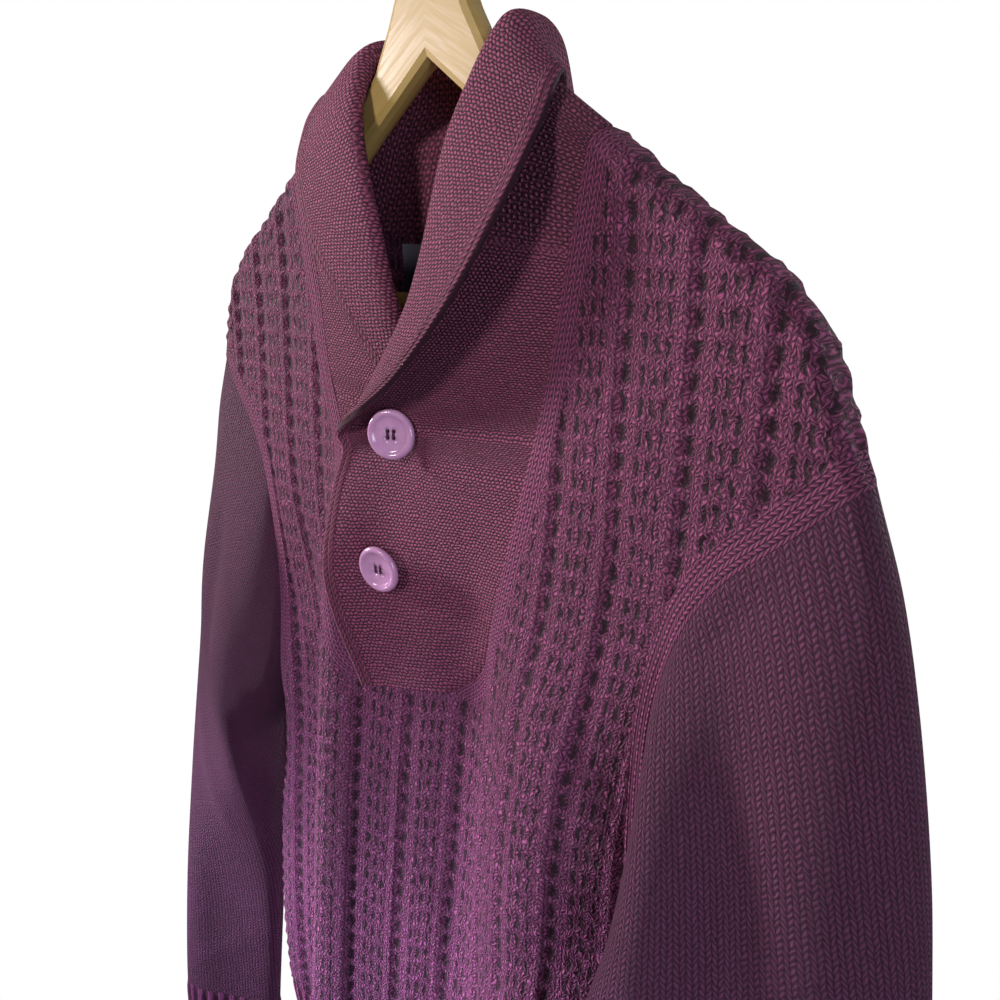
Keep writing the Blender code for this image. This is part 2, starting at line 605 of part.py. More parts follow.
# ---------------------------------------------------------------- shawl collar
def seam_point(side, place):
    """Point and normal of the seam that carries the collar, with place as in the tables."""
    if place > 1.0 and place % 1.0:
        above = seam_point(side, math.floor(place))
        below = seam_point(side, math.ceil(place))
        return (above[0] + below[0]) / 2, (above[1] + below[1]) / 2
    if place >= 0.0:
        face = -1
        across = side * MIDDLE
        down = place / YOKE_COUNT
    else:
        face = 1
        across = side * MIDDLE * (1.0 + place / 4.0)
        down = 0.0
    step = 1e-3
    columns = np.array([across - step, across, across + step])
    rows = np.array([max(down - step, 0.0), down, down + step])
    grid_c, grid_r = np.meshgrid(columns, rows)

    def surface(column, row):
        return body_point(face, column, row)

    outward = np.broadcast_to(np.array([0.0, float(face), 0.3]), (3, 3, 3))
    normals = surface_normals(surface, grid_r, grid_c, outward)
    return body_point(face, across, down), normals[1, 1]


def placket_row(side, place):
    """Middle of a band's wall along one row of the placket, from the seam to the free edge."""
    seam, normal = seam_point(side, place)
    yoke = place / YOKE_COUNT
    drop = NECK_DROP + (UNDERARM_DROP - NECK_DROP) * yoke ** YOKE_POWER
    table = np.array(PLACKET_EDGE)
    left_x, left_lift, right_x, right_lift = through(table[:, 0], table[:, 1:], drop)
    shared = np.linspace(right_x, left_x, len(STAND_PARTS) + len(FALL_PARTS) - 2)
    if side < 0:
        shared = shared[::-1]
    x = np.concatenate([[seam[0], (seam[0] + shared[0]) / 2], shared])
    if side > 0:
        part = np.clip((seam[0] - x) / (seam[0] - left_x), 0.0, 1.0)
        over = np.clip((seam[0] - x) / (seam[0] - right_x - OVERLAP_LEAD), 0.0, 1.0)
        lift = LAYER * over + (left_lift - LAYER) * part ** 3
    else:
        lift = right_lift * np.linspace(0.0, 1.0, len(x)) ** 3
    drops = drop - inset_tilt(yoke) * x
    y = body_y(-1, x, drops) - lift
    row = np.stack([x, y + BAND / 2, NOTCH_Z - drops], axis=-1)
    row[0] = seam - normal * BAND / 2
    return row


def fold_row(side, place):
    """Middle of the wall from the seam up to the roll line and over it to the free edge."""
    seam, normal = seam_point(side, place)
    start = seam - normal * BAND / 2
    table = np.array(COLLAR_LEFT if side > 0 else COLLAR_RIGHT)

    def lines(at):
        values = through(-table[:, 0], table[:, 1:], -at)
        return (np.array([values[0], values[1], NOTCH_Z - values[2]]),
                np.array([values[3], values[4], NOTCH_Z - values[5]]))

    roll, edge = lines(place)
    along = (roll - start) / np.linalg.norm(roll - start)
    turned = np.cross(along, lines(place - 0.25)[0] - lines(place + 0.25)[0])
    turned *= np.sign(np.dot(turned, edge - roll)) / np.linalg.norm(turned)
    turn = turned * min(ROLL_SIZE, FALL_PULL * np.linalg.norm(edge - roll))
    sag = turned * STAND_SAG
    stand = bezier(start, mix(start, roll, STAND_PULL) - sag, roll - turn - sag / 2, roll,
                   np.array(STAND_PARTS))
    fall = bezier(roll, roll + turn, mix(edge, roll, FALL_PULL) + turn * STAND_PULL, edge,
                  np.array(FALL_PARTS))
    return np.concatenate([stand, fall])


def bezier(a, b, c, d, parts):
    """Points of a cubic curve with ends a and d and handles b and c."""
    t = parts[:, None]
    return (1 - t) ** 3 * a + 3 * t * (1 - t) ** 2 * b + 3 * t * t * (1 - t) * c + t ** 3 * d


def tangents(grid):
    """Mean direction of the steps before and after each row of a grid of points."""
    step = np.diff(grid, axis=0)
    step /= np.linalg.norm(step, axis=-1, keepdims=True)
    return np.concatenate([step[:1], step[:-1] + step[1:], step[-1:]])


def collar_grid(side, places):
    """Outer and inner points of a collar half on the given seam places."""
    rows = [placket_row(side, p) if p > FOLD_PLACE else fold_row(side, p) for p in places]
    middle = np.array(rows)
    over = tangents(middle.swapaxes(0, 1)).swapaxes(0, 1)
    normals = np.cross(tangents(middle), over)
    normals /= np.linalg.norm(normals, axis=-1, keepdims=True)
    first = np.array([seam_point(side, p)[1] for p in places])
    if np.sum(normals[:, 1] * first) < 0.0:
        normals = -normals
    normals[:, 0] = first
    normals[-1, :, 0] = 0.0
    normals[-1] /= np.linalg.norm(normals[-1], axis=-1, keepdims=True)
    return middle + normals * BAND / 2, middle - normals * BAND / 2


def build_collar(side, name, material):
    back = [-4.0 * (1.0 - share) for share in BACK_MIDDLE[::-1][1:]]
    outer, inner = collar_grid(side, list(COLLAR_ROWS) + back)
    middle = (outer + inner) / 2
    shift = shrink_edges(middle, False, SEAM) - middle
    return wall(name, outer + shift, inner + shift, material)


# ---------------------------------------------------------------- buttons and label
def build_button(name, band, x, drop, turn, tilt, material):
    """Turned disc with a raised rim, a sunken middle and four holes, facing -Y before it turns."""
    bm = bmesh.new()
    spun = [bm.verts.new((r * BUTTON_RADIUS, -h * BUTTON_THICK, 0.0)) for r, h in BUTTON_PROFILE]
    edges = [bm.edges.new(pair) for pair in zip(spun, spun[1:])]
    bmesh.ops.spin(bm, geom=spun + edges, cent=(0, 0, 0), axis=(0, 1, 0), angle=2 * math.pi,
                   steps=BUTTON_STEPS, use_merge=True)
    bmesh.ops.remove_doubles(bm, verts=bm.verts, dist=1e-6)
    bmesh.ops.recalc_face_normals(bm, faces=bm.faces)
    button = add_object(name, bm, material)
    for i in range(4):
        angle = math.radians(45 + 90 * i)
        hole = bmesh.new()
        centre = Matrix.Translation((BUTTON_HOLE_SPREAD * math.cos(angle), -BUTTON_THICK / 2,
                                     BUTTON_HOLE_SPREAD * math.sin(angle)))
        bmesh.ops.create_cone(hole, cap_ends=True, segments=BUTTON_HOLE_SIDES, radius1=BUTTON_HOLE_RADIUS,
                              radius2=BUTTON_HOLE_RADIUS, depth=BUTTON_THICK * 2,
                              matrix=centre @ Matrix.Rotation(math.pi / 2, 4, "X"))
        cutter = add_object(f"{name}_hole_{i}", hole, material)
        cutter.hide_render = True
        cutter.display_type = "WIRE"
        cutter.parent = button
        cut = button.modifiers.new("hole", "BOOLEAN")
        cut.operation = "DIFFERENCE"
        cut.solver = "EXACT"
        cut.object = cutter
    turned = Matrix.Rotation(math.radians(turn), 3, "Z")
    turned = turned @ Matrix.Rotation(-math.radians(tilt), 3, "X")
    reach = []
    for share, height in BUTTON_PROFILE[1:3]:
        for i in range(BUTTON_STEPS):
            angle = math.tau * i / BUTTON_STEPS
            rim = turned @ Vector((share * BUTTON_RADIUS * math.cos(angle), -height * BUTTON_THICK,
                                   share * BUTTON_RADIUS * math.sin(angle)))
            start = Vector((x + rim.x, -1.0, NOTCH_Z - drop + rim.z))
            hit = band.ray_cast(start, Vector((0.0, 1.0, 0.0)))
            reach.append(hit[1].y - rim.y)
    seat = min(reach) - BUTTON_CLEAR
    button.matrix_world = Matrix.Translation((x, seat, NOTCH_Z - drop)) @ turned.to_4x4()


def build_label(name, material):
    """Blank woven label lying on the inside of the back, just under the neck seam."""
    top = NECK_DROP + BACK_NECK_DEPTH + LABEL_TOP
    x, drop = np.meshgrid(np.linspace(-LABEL_WIDTH / 2, LABEL_WIDTH / 2, 7) - LABEL_SHIFT,
                          np.linspace(top, top + LABEL_HEIGHT, 5))
    y = body_y(1, x, drop) - CLOTH - LABEL_CLEAR
    near = np.stack([x, y, NOTCH_Z - drop], axis=-1)
    wall(name, near, near - np.array([0.0, LABEL_THICK, 0.0]), material)


# ---------------------------------------------------------------- hanger
def board_outline():
    """Outline of the board in X and Z, from the neck along the left arm and back to the notch."""
    neck = [(x, -drop) for x, drop in BOARD_NECK]
    arm = []
    for x in np.linspace(ARM_START, BOARD_TIP, 7):
        arm.append((float(x), -float(shoulder_drop(x)) - CLOTH - BOARD_CLEAR))
    under = [(x, -drop) for x, drop in BOARD_UNDER]
    right = neck + arm + under
    left = [(-x, z) for x, z in reversed(right)]
    return right + [(0.0, 0.0)] + left


def build_board(name, material):
    outline = board_outline()
    bm = bmesh.new()
    face = bm.faces.new([bm.verts.new((x, BOARD_THICK / 2, NOTCH_Z + z)) for x, z in outline])
    grown = bmesh.ops.extrude_face_region(bm, geom=[face])
    front = [item for item in grown["geom"] if isinstance(item, bmesh.types.BMVert)]
    bmesh.ops.translate(bm, verts=front, vec=(0.0, -BOARD_THICK, 0.0))
    rims = [e for e in bm.edges if abs(e.verts[0].co.y - e.verts[1].co.y) < 1e-6]
    bmesh.ops.bevel(bm, geom=rims, offset=BOARD_EDGE, segments=2, profile=0.5, affect="EDGES",
                    material=-1, clamp_overlap=True)
    for vert in bm.verts:
        thinner = float(smooth_step(THIN_START, BOARD_TIP, abs(vert.co.x)))
        vert.co.y *= mix(1.0, BOARD_TIP_SHARE, thinner)
    bmesh.ops.recalc_face_normals(bm, faces=bm.faces)
    board = add_object(name, bm, material)
    bore = bmesh.new()
    bmesh.ops.create_cone(bore, cap_ends=True, segments=ROUND_SIDES, radius1=BAR_RADIUS + SEAM,
                          radius2=BAR_RADIUS + SEAM, depth=2 * (BAR_HALF + SEAM),
                          matrix=bar_matrix())
    cutter = add_object(name + "_socket", bore, material)
    cutter.hide_render = True
    cutter.display_type = "WIRE"
    cut = board.modifiers.new("socket", "BOOLEAN")
    cut.operation = "DIFFERENCE"
    cut.solver = "EXACT"
    cut.object = cutter


def bar_matrix():
    return Matrix.Translation((0.0, 0.0, NOTCH_Z - BAR_DROP)) @ Matrix.Rotation(math.pi / 2, 4, "Y")


def build_bar(name, material):
    bm = bmesh.new()
    bmesh.ops.create_cone(bm, cap_ends=True, segments=ROUND_SIDES, radius1=BAR_RADIUS,
                          radius2=BAR_RADIUS, depth=2 * BAR_HALF, matrix=bar_matrix())
    add_object(name, bm, material)


def hook_path():
    """Stem, then round from the lower right over the top, with the seat inside the top."""
    radius = HOOK_INNER + HOOK_WIRE
    centre = Vector((0.0, 0.0, -HOOK_INNER))
    foot = Vector((0.0, 0.0, NOTCH_Z - BOARD_NECK[0][1] + SEAM))
    knee = Vector((0.0, 0.0, foot.z + HOOK_STEM))
    first = math.radians(HOOK_START)
    start = centre + radius * Vector((math.cos(first), 0.0, math.sin(first)))
    heading = Vector((-math.sin(first), 0.0, math.cos(first)))
    points = [foot]
    leave = knee + Vector((0.0, 0.0, HOOK_PULL))
    arrive = start - heading * HOOK_PULL
    for i in range(HOOK_NECK_STEPS + 1):
        t = i / HOOK_NECK_STEPS
        points.append((1 - t) ** 3 * knee + 3 * t * (1 - t) ** 2 * leave
                      + 3 * t * t * (1 - t) * arrive + t ** 3 * start)
    for i in range(1, HOOK_ROUND_STEPS + 1):
        angle = first + math.radians(HOOK_SWEEP) * i / HOOK_ROUND_STEPS
        points.append(centre + radius * Vector((math.cos(angle), 0.0, math.sin(angle))))
    return points


def build_hook(name, material):
    points = hook_path()
    curve = bpy.data.curves.new(name, "CURVE")
    curve.dimensions = "3D"
    curve.bevel_depth = HOOK_WIRE
    curve.bevel_resolution = 2
    curve.use_fill_caps = True
    spline = curve.splines.new("POLY")
    spline.points.add(len(points) - 1)
    for target, point in zip(spline.points, points):
        target.co = (*point, 1.0)
    curve.materials.append(material)
    hook = bpy.data.objects.new(name, curve)
    bpy.context.collection.objects.link(hook)


# ---------------------------------------------------------------- the whole part
knit = make_material("textured_knit", (0.150, 0.042, 0.092), 0.85)
jersey = make_material("plain_knit", (0.140, 0.040, 0.090), 0.85)
ribbing = make_material("ribbing", (0.135, 0.038, 0.086), 0.85)
collar_knit = make_material("collar_knit", (0.160, 0.044, 0.088), 0.85)
button_gloss = make_material("button_gloss", (0.260, 0.090, 0.200), 0.18)
label_cloth = make_material("label_cloth", (0.090, 0.110, 0.150), 0.70)
pale_wood = make_material("pale_wood", (0.800, 0.600, 0.350), 0.45)
bright_steel = make_material("bright_steel", (0.700, 0.700, 0.720), 0.22, 1.0)

build_body(-1, "front", "hem_front", knit, ribbing)
build_body(1, "back", "hem_back", knit, ribbing)
build_sleeve(1, "sleeve_left", "cuff_left", jersey, ribbing)
build_sleeve(-1, "sleeve_right", "cuff_right", jersey, ribbing)
left_band = build_collar(1, "collar_left", collar_knit)
build_collar(-1, "collar_right", collar_knit)
bpy.context.view_layer.update()
for number, (x, drop, turn, tilt) in enumerate(BUTTONS, start=1):
    build_button(f"button_{number}", left_band, x, drop, turn, tilt, button_gloss)
build_label("neck_label", label_cloth)
build_board("hanger_board", pale_wood)
build_bar("hanger_bar", pale_wood)
build_hook("hanger_hook", bright_steel)
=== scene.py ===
"""Shawl collar sweater on a wooden hanger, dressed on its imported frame.

Each cloth piece is a wall with a fine outer sheet, knitted by its material in the lengths of its
own cloth. The frame's hook seat is the origin, +X is the wearer's left and -Y is the front.
"""
import math

import bmesh
import bpy
import numpy as np
from mathutils import Matrix, Vector


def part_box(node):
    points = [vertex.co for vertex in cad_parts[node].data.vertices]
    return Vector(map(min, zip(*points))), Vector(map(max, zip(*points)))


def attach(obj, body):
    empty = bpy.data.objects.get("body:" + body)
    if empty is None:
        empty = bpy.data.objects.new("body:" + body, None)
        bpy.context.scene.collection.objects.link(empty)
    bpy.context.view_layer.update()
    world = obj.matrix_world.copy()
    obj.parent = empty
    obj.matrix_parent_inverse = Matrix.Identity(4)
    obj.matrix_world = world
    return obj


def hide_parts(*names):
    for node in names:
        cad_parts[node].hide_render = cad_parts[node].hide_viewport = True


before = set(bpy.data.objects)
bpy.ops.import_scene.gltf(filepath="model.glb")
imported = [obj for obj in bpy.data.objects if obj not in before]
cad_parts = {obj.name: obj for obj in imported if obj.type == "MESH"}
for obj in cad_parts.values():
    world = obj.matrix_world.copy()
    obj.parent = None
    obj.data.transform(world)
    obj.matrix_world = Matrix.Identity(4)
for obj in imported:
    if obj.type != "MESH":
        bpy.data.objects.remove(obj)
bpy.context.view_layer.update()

# ==== The front and the back
# Two panels in a coarse texture of ropes and ladders that hang from the shoulder seams. The front
# has a long opening for the plain inset. Both are one smooth surface with long soft folds.
NOTCH_Z = -0.125            # tip of the hanger's notch; drops start here
CLOTH = 0.0026              # thickness of the panels' wall
STRIDE = 3                  # cells of the fine outer sheet to one of the inner sheet
NECK_X = 0.112              # neck point, where shoulder seam and collar meet
NECK_DROP = 0.039
BACK_NECK_DEPTH = 0.044     # how far the back neckline dips, and how square the dip is
BACK_NECK_POWER = 5.0
BACK_INNER_X = 0.085
TIP_X = 0.235               # shoulder tip, where the armhole starts
TIP_DROP = 0.162
UNDERARM_DROP = 0.413
RIB_DROP = 0.655            # where the ribbing starts and where it ends
HEM_DROP = 0.722
SHOULDER_SLOPE = 0.62       # slope of the shoulder inside the neck point
SHOULDER_ROUND = 0.010      # drop in which the edge of the shoulder rounds over
SHOULDER_HALF = 0.0125      # half the depth of the cloth that lies on the board
SHOULDER_POWER = 5.0
SIDE_POWER = 2.6            # roundness of a horizontal section
SWELL_DROP = 0.06           # drop below the shoulder in which a panel gets its fullness
FOLD_RISE = 0.13            # lengths in which a long fold starts and ends
FOLD_FALL = 0.10
MIDDLE = 0.3                # share of a panel's columns between the two seams of the inset
YOKE_COUNT = 12             # rows from the neck point to the underarm
INSET_COUNT = 10            # those of them beside the inset
YOKE_POWER = 1.5            # how the rows crowd toward the neck
FOOT_TILT = 0.13            # slope of the inset's foot
FOOT_ROUND = 0.016          # how its corners round off
FOOT_RISE = 1.6 * FOOT_ROUND
FOOT_POWER = 2.2
TILT_FADE = 0.3             # part of the skirt in which the slope of the inset's foot fades
INSET_DROP = NECK_DROP + (UNDERARM_DROP - NECK_DROP) * (INSET_COUNT / YOKE_COUNT) ** YOKE_POWER

# Shoulder seam, from the neck point to the tip of the shoulder.
#                 x      drop
SHOULDER_LINE = ((0.106, 0.0335),
                 (0.127, 0.0470),
                 (0.156, 0.0670),
                 (0.180, 0.0815),
                 (0.200, 0.0965),
                 (0.212, 0.1110),
                 (0.221, 0.1310),
                 (0.228, 0.1480),
                 (0.235, 0.1620))

# Seam between the plain inset and the textured front: half widths on the wearer's left and right.
#             drop    left   right
INSET_SEAM = ((0.0390, 0.112, 0.112),
              (0.1000, 0.098, 0.098),
              (0.1650, 0.086, 0.083),
              (0.1900, 0.080, 0.069),
              (0.2150, 0.074, 0.059),
              (0.2500, 0.064, 0.051),
              (0.2900, 0.050, 0.041),
              (0.3235, 0.041, 0.030))

# Armhole seam, from the tip of the shoulder to the underarm.
#          x      drop
ARMHOLE = ((0.235, 0.162),
           (0.214, 0.183),
           (0.188, 0.208),
           (0.171, 0.236),
           (0.163, 0.268),
           (0.161, 0.310),
           (0.166, 0.362),
           (0.178, 0.413))

# Horizontal sections: half width to the side seam, middle plane, fullness of front and back.
#           drop   side_x  mid_y  front  back
SECTIONS = ((0.00, 0.300, 0.000, 0.000, 0.000),
            (0.12, 0.285, 0.000, 0.000, 0.004),
            (0.20, 0.258, 0.000, 0.004, 0.012),
            (0.28, 0.228, 0.000, 0.012, 0.020),
            (0.35, 0.198, 0.000, 0.020, 0.026),
            (0.413, 0.178, 0.000, 0.026, 0.030),
            (0.50, 0.186, -0.002, 0.032, 0.034),
            (0.60, 0.190, -0.004, 0.036, 0.036),
            (0.655, 0.188, -0.005, 0.033, 0.034),
            (0.722, 0.178, -0.005, 0.026, 0.028))

# Long soft folds; a positive depth stands out from the panel.
#               x_top   x_foot  start  end    width  depth
FRONT_FOLDS = ((-0.050, -0.056, 0.150, 0.900, 0.025, 0.023),
               (0.036, 0.044, 0.180, 0.900, 0.030, -0.018),
               (0.104, 0.118, 0.240, 0.900, 0.032, 0.012),
               (-0.125, -0.130, 0.230, 0.900, 0.038, -0.023),
               (0.150, 0.150, 0.180, 0.420, 0.022, -0.005))
BACK_FOLDS = ((-0.070, -0.085, 0.180, 0.900, 0.036, 0.012),
              (0.000, 0.010, 0.220, 0.900, 0.034, -0.010),
              (0.078, 0.092, 0.200, 0.900, 0.036, 0.013),
              (0.136, 0.140, 0.280, 0.900, 0.024, -0.008))


def through(knots, values, at):
    """Smooth cubic curve through the values of a short table."""
    knots = np.asarray(knots, float)
    values = np.asarray(values, float)
    at = np.asarray(at, float)
    slopes = np.gradient(values, knots, axis=0)
    span = np.clip(np.searchsorted(knots, at, side="right") - 1, 0, len(knots) - 2)
    width = knots[span + 1] - knots[span]
    part = np.clip((at - knots[span]) / width, 0.0, 1.0)
    if values.ndim > 1:
        width = width[..., None]
        part = part[..., None]
    start = values[span]
    finish = values[span + 1]
    return ((2 * part ** 3 - 3 * part ** 2 + 1) * start
            + (part ** 3 - 2 * part ** 2 + part) * width * slopes[span]
            + (3 * part ** 2 - 2 * part ** 3) * finish
            + (part ** 3 - part ** 2) * width * slopes[span + 1])


def split(values):
    """The columns of an array of rows, one by one."""
    return np.moveaxis(values, -1, 0)


def mix(start, finish, part):
    """Value that lies a part of the way from start to finish."""
    return start + (finish - start) * part


def smooth_step(low, high, at):
    """0 up to low, 1 from high on, and smooth between them."""
    part = np.clip((np.asarray(at, float) - low) / (high - low), 0.0, 1.0)
    return part * part * (3.0 - 2.0 * part)


def shoulder_drop(x):
    """Drop of the shoulder seam at a half width, running on straight inside the neck point."""
    x = np.abs(x)
    line = np.array(SHOULDER_LINE)
    inside = line[0, 1] + (x - line[0, 0]) * SHOULDER_SLOPE
    return np.where(x < line[0, 0], inside, through(line[:, 0], line[:, 1], x))


def inset_half_width(side, drop):
    """Half width of the inset at a drop, on the side that the sign gives."""
    table = np.array(INSET_SEAM)
    left, right = split(through(table[:, 0], table[:, 1:], drop))
    corner = np.clip(1.0 - (INSET_DROP - drop) / FOOT_RISE, 0.0, 1.0) ** FOOT_POWER
    return np.where(np.asarray(side) < 0.0, right, left) - FOOT_ROUND * corner


def inset_tilt(yoke):
    """Slope of the rows across the inset, which grows toward its foot."""
    return FOOT_TILT * smooth_step(0.4, 0.8, yoke)


def fold_height(folds, x, drop):
    """Sum of the long folds at a place on a panel."""
    total = np.zeros(np.broadcast(x, drop).shape)
    for x_top, x_foot, start, end, width, depth in folds:
        centre = mix(x_top, x_foot, np.clip((drop - start) / (end - start), 0.0, 1.0))
        fade = smooth_step(start, start + FOLD_RISE, drop)
        fade = fade * (1.0 - smooth_step(end - FOLD_FALL, end, drop))
        total = total + depth * fade * np.exp(-((x - centre) / width) ** 2)
    return total


def body_y(face, x, drop):
    """Outer surface of the body at (x, drop); face is -1 for the front and +1 for the back."""
    table = np.array(SECTIONS)
    side_x, mid_y, front, back = split(through(table[:, 0], table[:, 1:], drop))
    across = np.clip(np.abs(x) / side_x, 0.0, 1.0)
    lens = (1.0 - across ** SIDE_POWER) ** (1.0 / SIDE_POWER)
    below = np.clip((drop - shoulder_drop(x)) / SHOULDER_ROUND, 0.0, 1.0)
    tip = np.sqrt(1.0 - across ** SHOULDER_POWER)
    edge = SHOULDER_HALF * np.sqrt(1.0 - (1.0 - below) ** 2)
    fullness, table = (front, FRONT_FOLDS) if face < 0 else (back, BACK_FOLDS)
    folds = fold_height(table, x, drop)
    swell = fullness * smooth_step(0.0, SWELL_DROP, drop - shoulder_drop(x))
    return mid_y + face * (tip * edge + lens * swell + folds * (1.0 - across ** 4))


def body_point(face, across, down):
    """Point of the body: across runs -1 to 1, down 0 to 1 (yoke), 2 (skirt) and 3 (hem)."""
    across, down = np.broadcast_arrays(np.asarray(across, float), np.asarray(down, float))
    yoke = np.clip(down, 0.0, 1.0)
    skirt = np.clip(down - 1.0, 0.0, 1.0)
    rib = np.clip(down - 2.0, 0.0, 1.0)
    armhole = np.array(ARMHOLE)
    places = np.linspace(0.0, 1.0, len(ARMHOLE))
    outer_x, outer_drop = split(through(places, armhole, 0.5 - 0.5 * np.cos(math.pi * yoke)))
    lower = (RIB_DROP - UNDERARM_DROP) * skirt + (HEM_DROP - RIB_DROP) * rib
    section = np.array(SECTIONS)
    side_x = through(section[:, 0], section[:, 1], outer_drop + lower)
    outer_x = np.where(down > 1.0, side_x, outer_x)
    inner_drop = mix(NECK_DROP, UNDERARM_DROP, yoke ** YOKE_POWER)
    inner_x = inset_half_width(across, np.minimum(inner_drop, INSET_DROP))
    if face > 0:
        inner_x = mix(NECK_X, BACK_INNER_X, smooth_step(0.0, 1.0, yoke))
    part = np.clip((np.abs(across) - MIDDLE) / (1.0 - MIDDLE), 0.0, 1.0)
    eased = np.sin(part * math.pi / 2.0)
    size = np.where(np.abs(across) < MIDDLE, inner_x * np.abs(across) / MIDDLE,
                    mix(inner_x, outer_x, eased))
    x = np.sign(across) * size
    start_x = mix(NECK_X, TIP_X, eased)
    bend = shoulder_drop(start_x) - mix(NECK_DROP, TIP_DROP, eased)
    drop = mix(inner_drop, outer_drop, eased) + bend * (1.0 - yoke) ** 2
    if face > 0:
        dip = BACK_NECK_DEPTH * (1.0 - (np.abs(across) / MIDDLE) ** BACK_NECK_POWER)
        drop = drop + np.where(np.abs(across) < MIDDLE, dip * (1.0 - yoke), 0.0)
    else:
        fade = (1.0 - smooth_step(0.0, TILT_FADE, skirt)) * (1.0 - eased)
        drop = drop - inset_tilt(yoke) * x * fade
    drop = drop + lower
    y = body_y(face, x, drop)
    return np.stack([x, y, NOTCH_Z - drop], axis=-1)


def run_length(grid, axis):
    """Length of cloth from the first row or column of a grid of points to each of the others."""
    steps = np.linalg.norm(np.diff(grid, axis=axis), axis=-1)
    return np.insert(np.cumsum(steps, axis=axis), 0, 0.0, axis=axis)


def sheet_normals(grid, closed, outward):
    """Unit normals of a fine grid, on the side of the outward vector at its middle."""
    if closed:
        around = np.concatenate([grid[:, -2:-1], grid, grid[:, 1:2]], axis=1)
        across = around[:, 2:] - around[:, :-2]
    else:
        across = np.gradient(grid, axis=1)
    normals = np.cross(across, np.gradient(grid, axis=0))
    normals /= np.maximum(np.linalg.norm(normals, axis=-1, keepdims=True), 1e-12)
    middle = normals[normals.shape[0] // 2, normals.shape[1] // 2]
    return normals * np.sign(np.dot(middle, outward))


def new_piece(name, bm, smooth=True):
    """An object made of a bmesh, which is used up."""
    mesh = bpy.data.meshes.new(name)
    bm.to_mesh(mesh)
    bm.free()
    if smooth:
        mesh.shade_smooth()
    piece = bpy.data.objects.new(name, mesh)
    bpy.context.collection.objects.link(piece)
    return piece


def shell(name, base, normals, relief, thickness, layers, closed=False, kept=None, stride=STRIDE):
    """Wall of cloth with a fine outer sheet, a coarser inner sheet and a rim between the two.

    Layers are the UV maps by name, and kept says which cells of the inner sheet are there.
    """
    rows, columns = base.shape[0] - 1, base.shape[1] - 1
    outer = base + normals * relief[..., None]
    inner = (base - normals * thickness[..., None])[::stride, ::stride]
    used = columns if closed else columns + 1
    used_in = columns // stride if closed else columns // stride + 1
    fine = np.arange((rows + 1) * used).reshape(rows + 1, used)
    coarse = np.arange((rows // stride + 1) * used_in).reshape(-1, used_in) + fine.size
    if closed:
        fine = np.concatenate([fine, fine[:, :1]], axis=1)
        coarse = np.concatenate([coarse, coarse[:, :1]], axis=1)
    if kept is None:
        kept = np.ones((rows // stride, columns // stride), bool)
    corners = ((0, 0), (0, 1), (1, 1), (1, 0))
    i, j = np.nonzero(np.repeat(np.repeat(kept, stride, 0), stride, 1))
    faces = np.stack([fine[i + a, j + b] for a, b in corners], 1).tolist()
    places = np.stack([np.stack([i + a, j + b], -1) for a, b in corners], 1).tolist()
    i, j = np.nonzero(kept)
    faces += np.stack([coarse[i + a, j + b] for a, b in corners[::-1]], 1).tolist()
    places += np.stack([np.stack([i + a, j + b], -1) * stride for a, b in corners[::-1]], 1).tolist()
    for row, column in zip(i.tolist(), j.tolist()):
        for side, (a, b) in enumerate(((-1, 0), (0, 1), (1, 0), (0, -1))):
            there = (row + a, column + b)
            if closed:
                there = (there[0], there[1] % kept.shape[1])
            if 0 <= there[0] < kept.shape[0] and 0 <= there[1] < kept.shape[1] and kept[there]:
                continue
            start = (row + corners[side][0], column + corners[side][1])
            finish = (row + corners[side - 3][0], column + corners[side - 3][1])
            chain = [(start[0] * stride + (finish[0] - start[0]) * k,
                      start[1] * stride + (finish[1] - start[1]) * k) for k in range(stride, -1, -1)]
            faces.append([int(fine[p]) for p in chain] + [int(coarse[start]), int(coarse[finish])])
            places.append([list(p) for p in chain] + [[start[0] * stride, start[1] * stride],
                                                      [finish[0] * stride, finish[1] * stride]])
    points = np.concatenate([outer[:, :used].reshape(-1, 3), inner[:, :used_in].reshape(-1, 3)])
    first = points[np.array(faces[0])]
    row, column = places[0][0]
    if np.dot(np.cross(first[1] - first[0], first[3] - first[0]), normals[row, column]) < 0.0:
        faces = [face[::-1] for face in faces]
        places = [place[::-1] for place in places]
    mesh = bpy.data.meshes.new(name)
    mesh.from_pydata(points.tolist(), [], faces)
    at = np.array([pair for place in places for pair in place])
    for layer, values in layers.items():
        mesh.uv_layers.new(name=layer).data.foreach_set("uv", values[at[:, 0], at[:, 1]].ravel())
    bm = bmesh.new()
    bm.from_mesh(mesh)
    bmesh.ops.delete(bm, geom=[v for v in bm.verts if not v.link_faces], context="VERTS")
    bpy.data.meshes.remove(mesh)
    piece = new_piece(name + "_cloth", bm)
    piece.data.set_sharp_from_angle(angle=math.radians(65.0))
    return piece


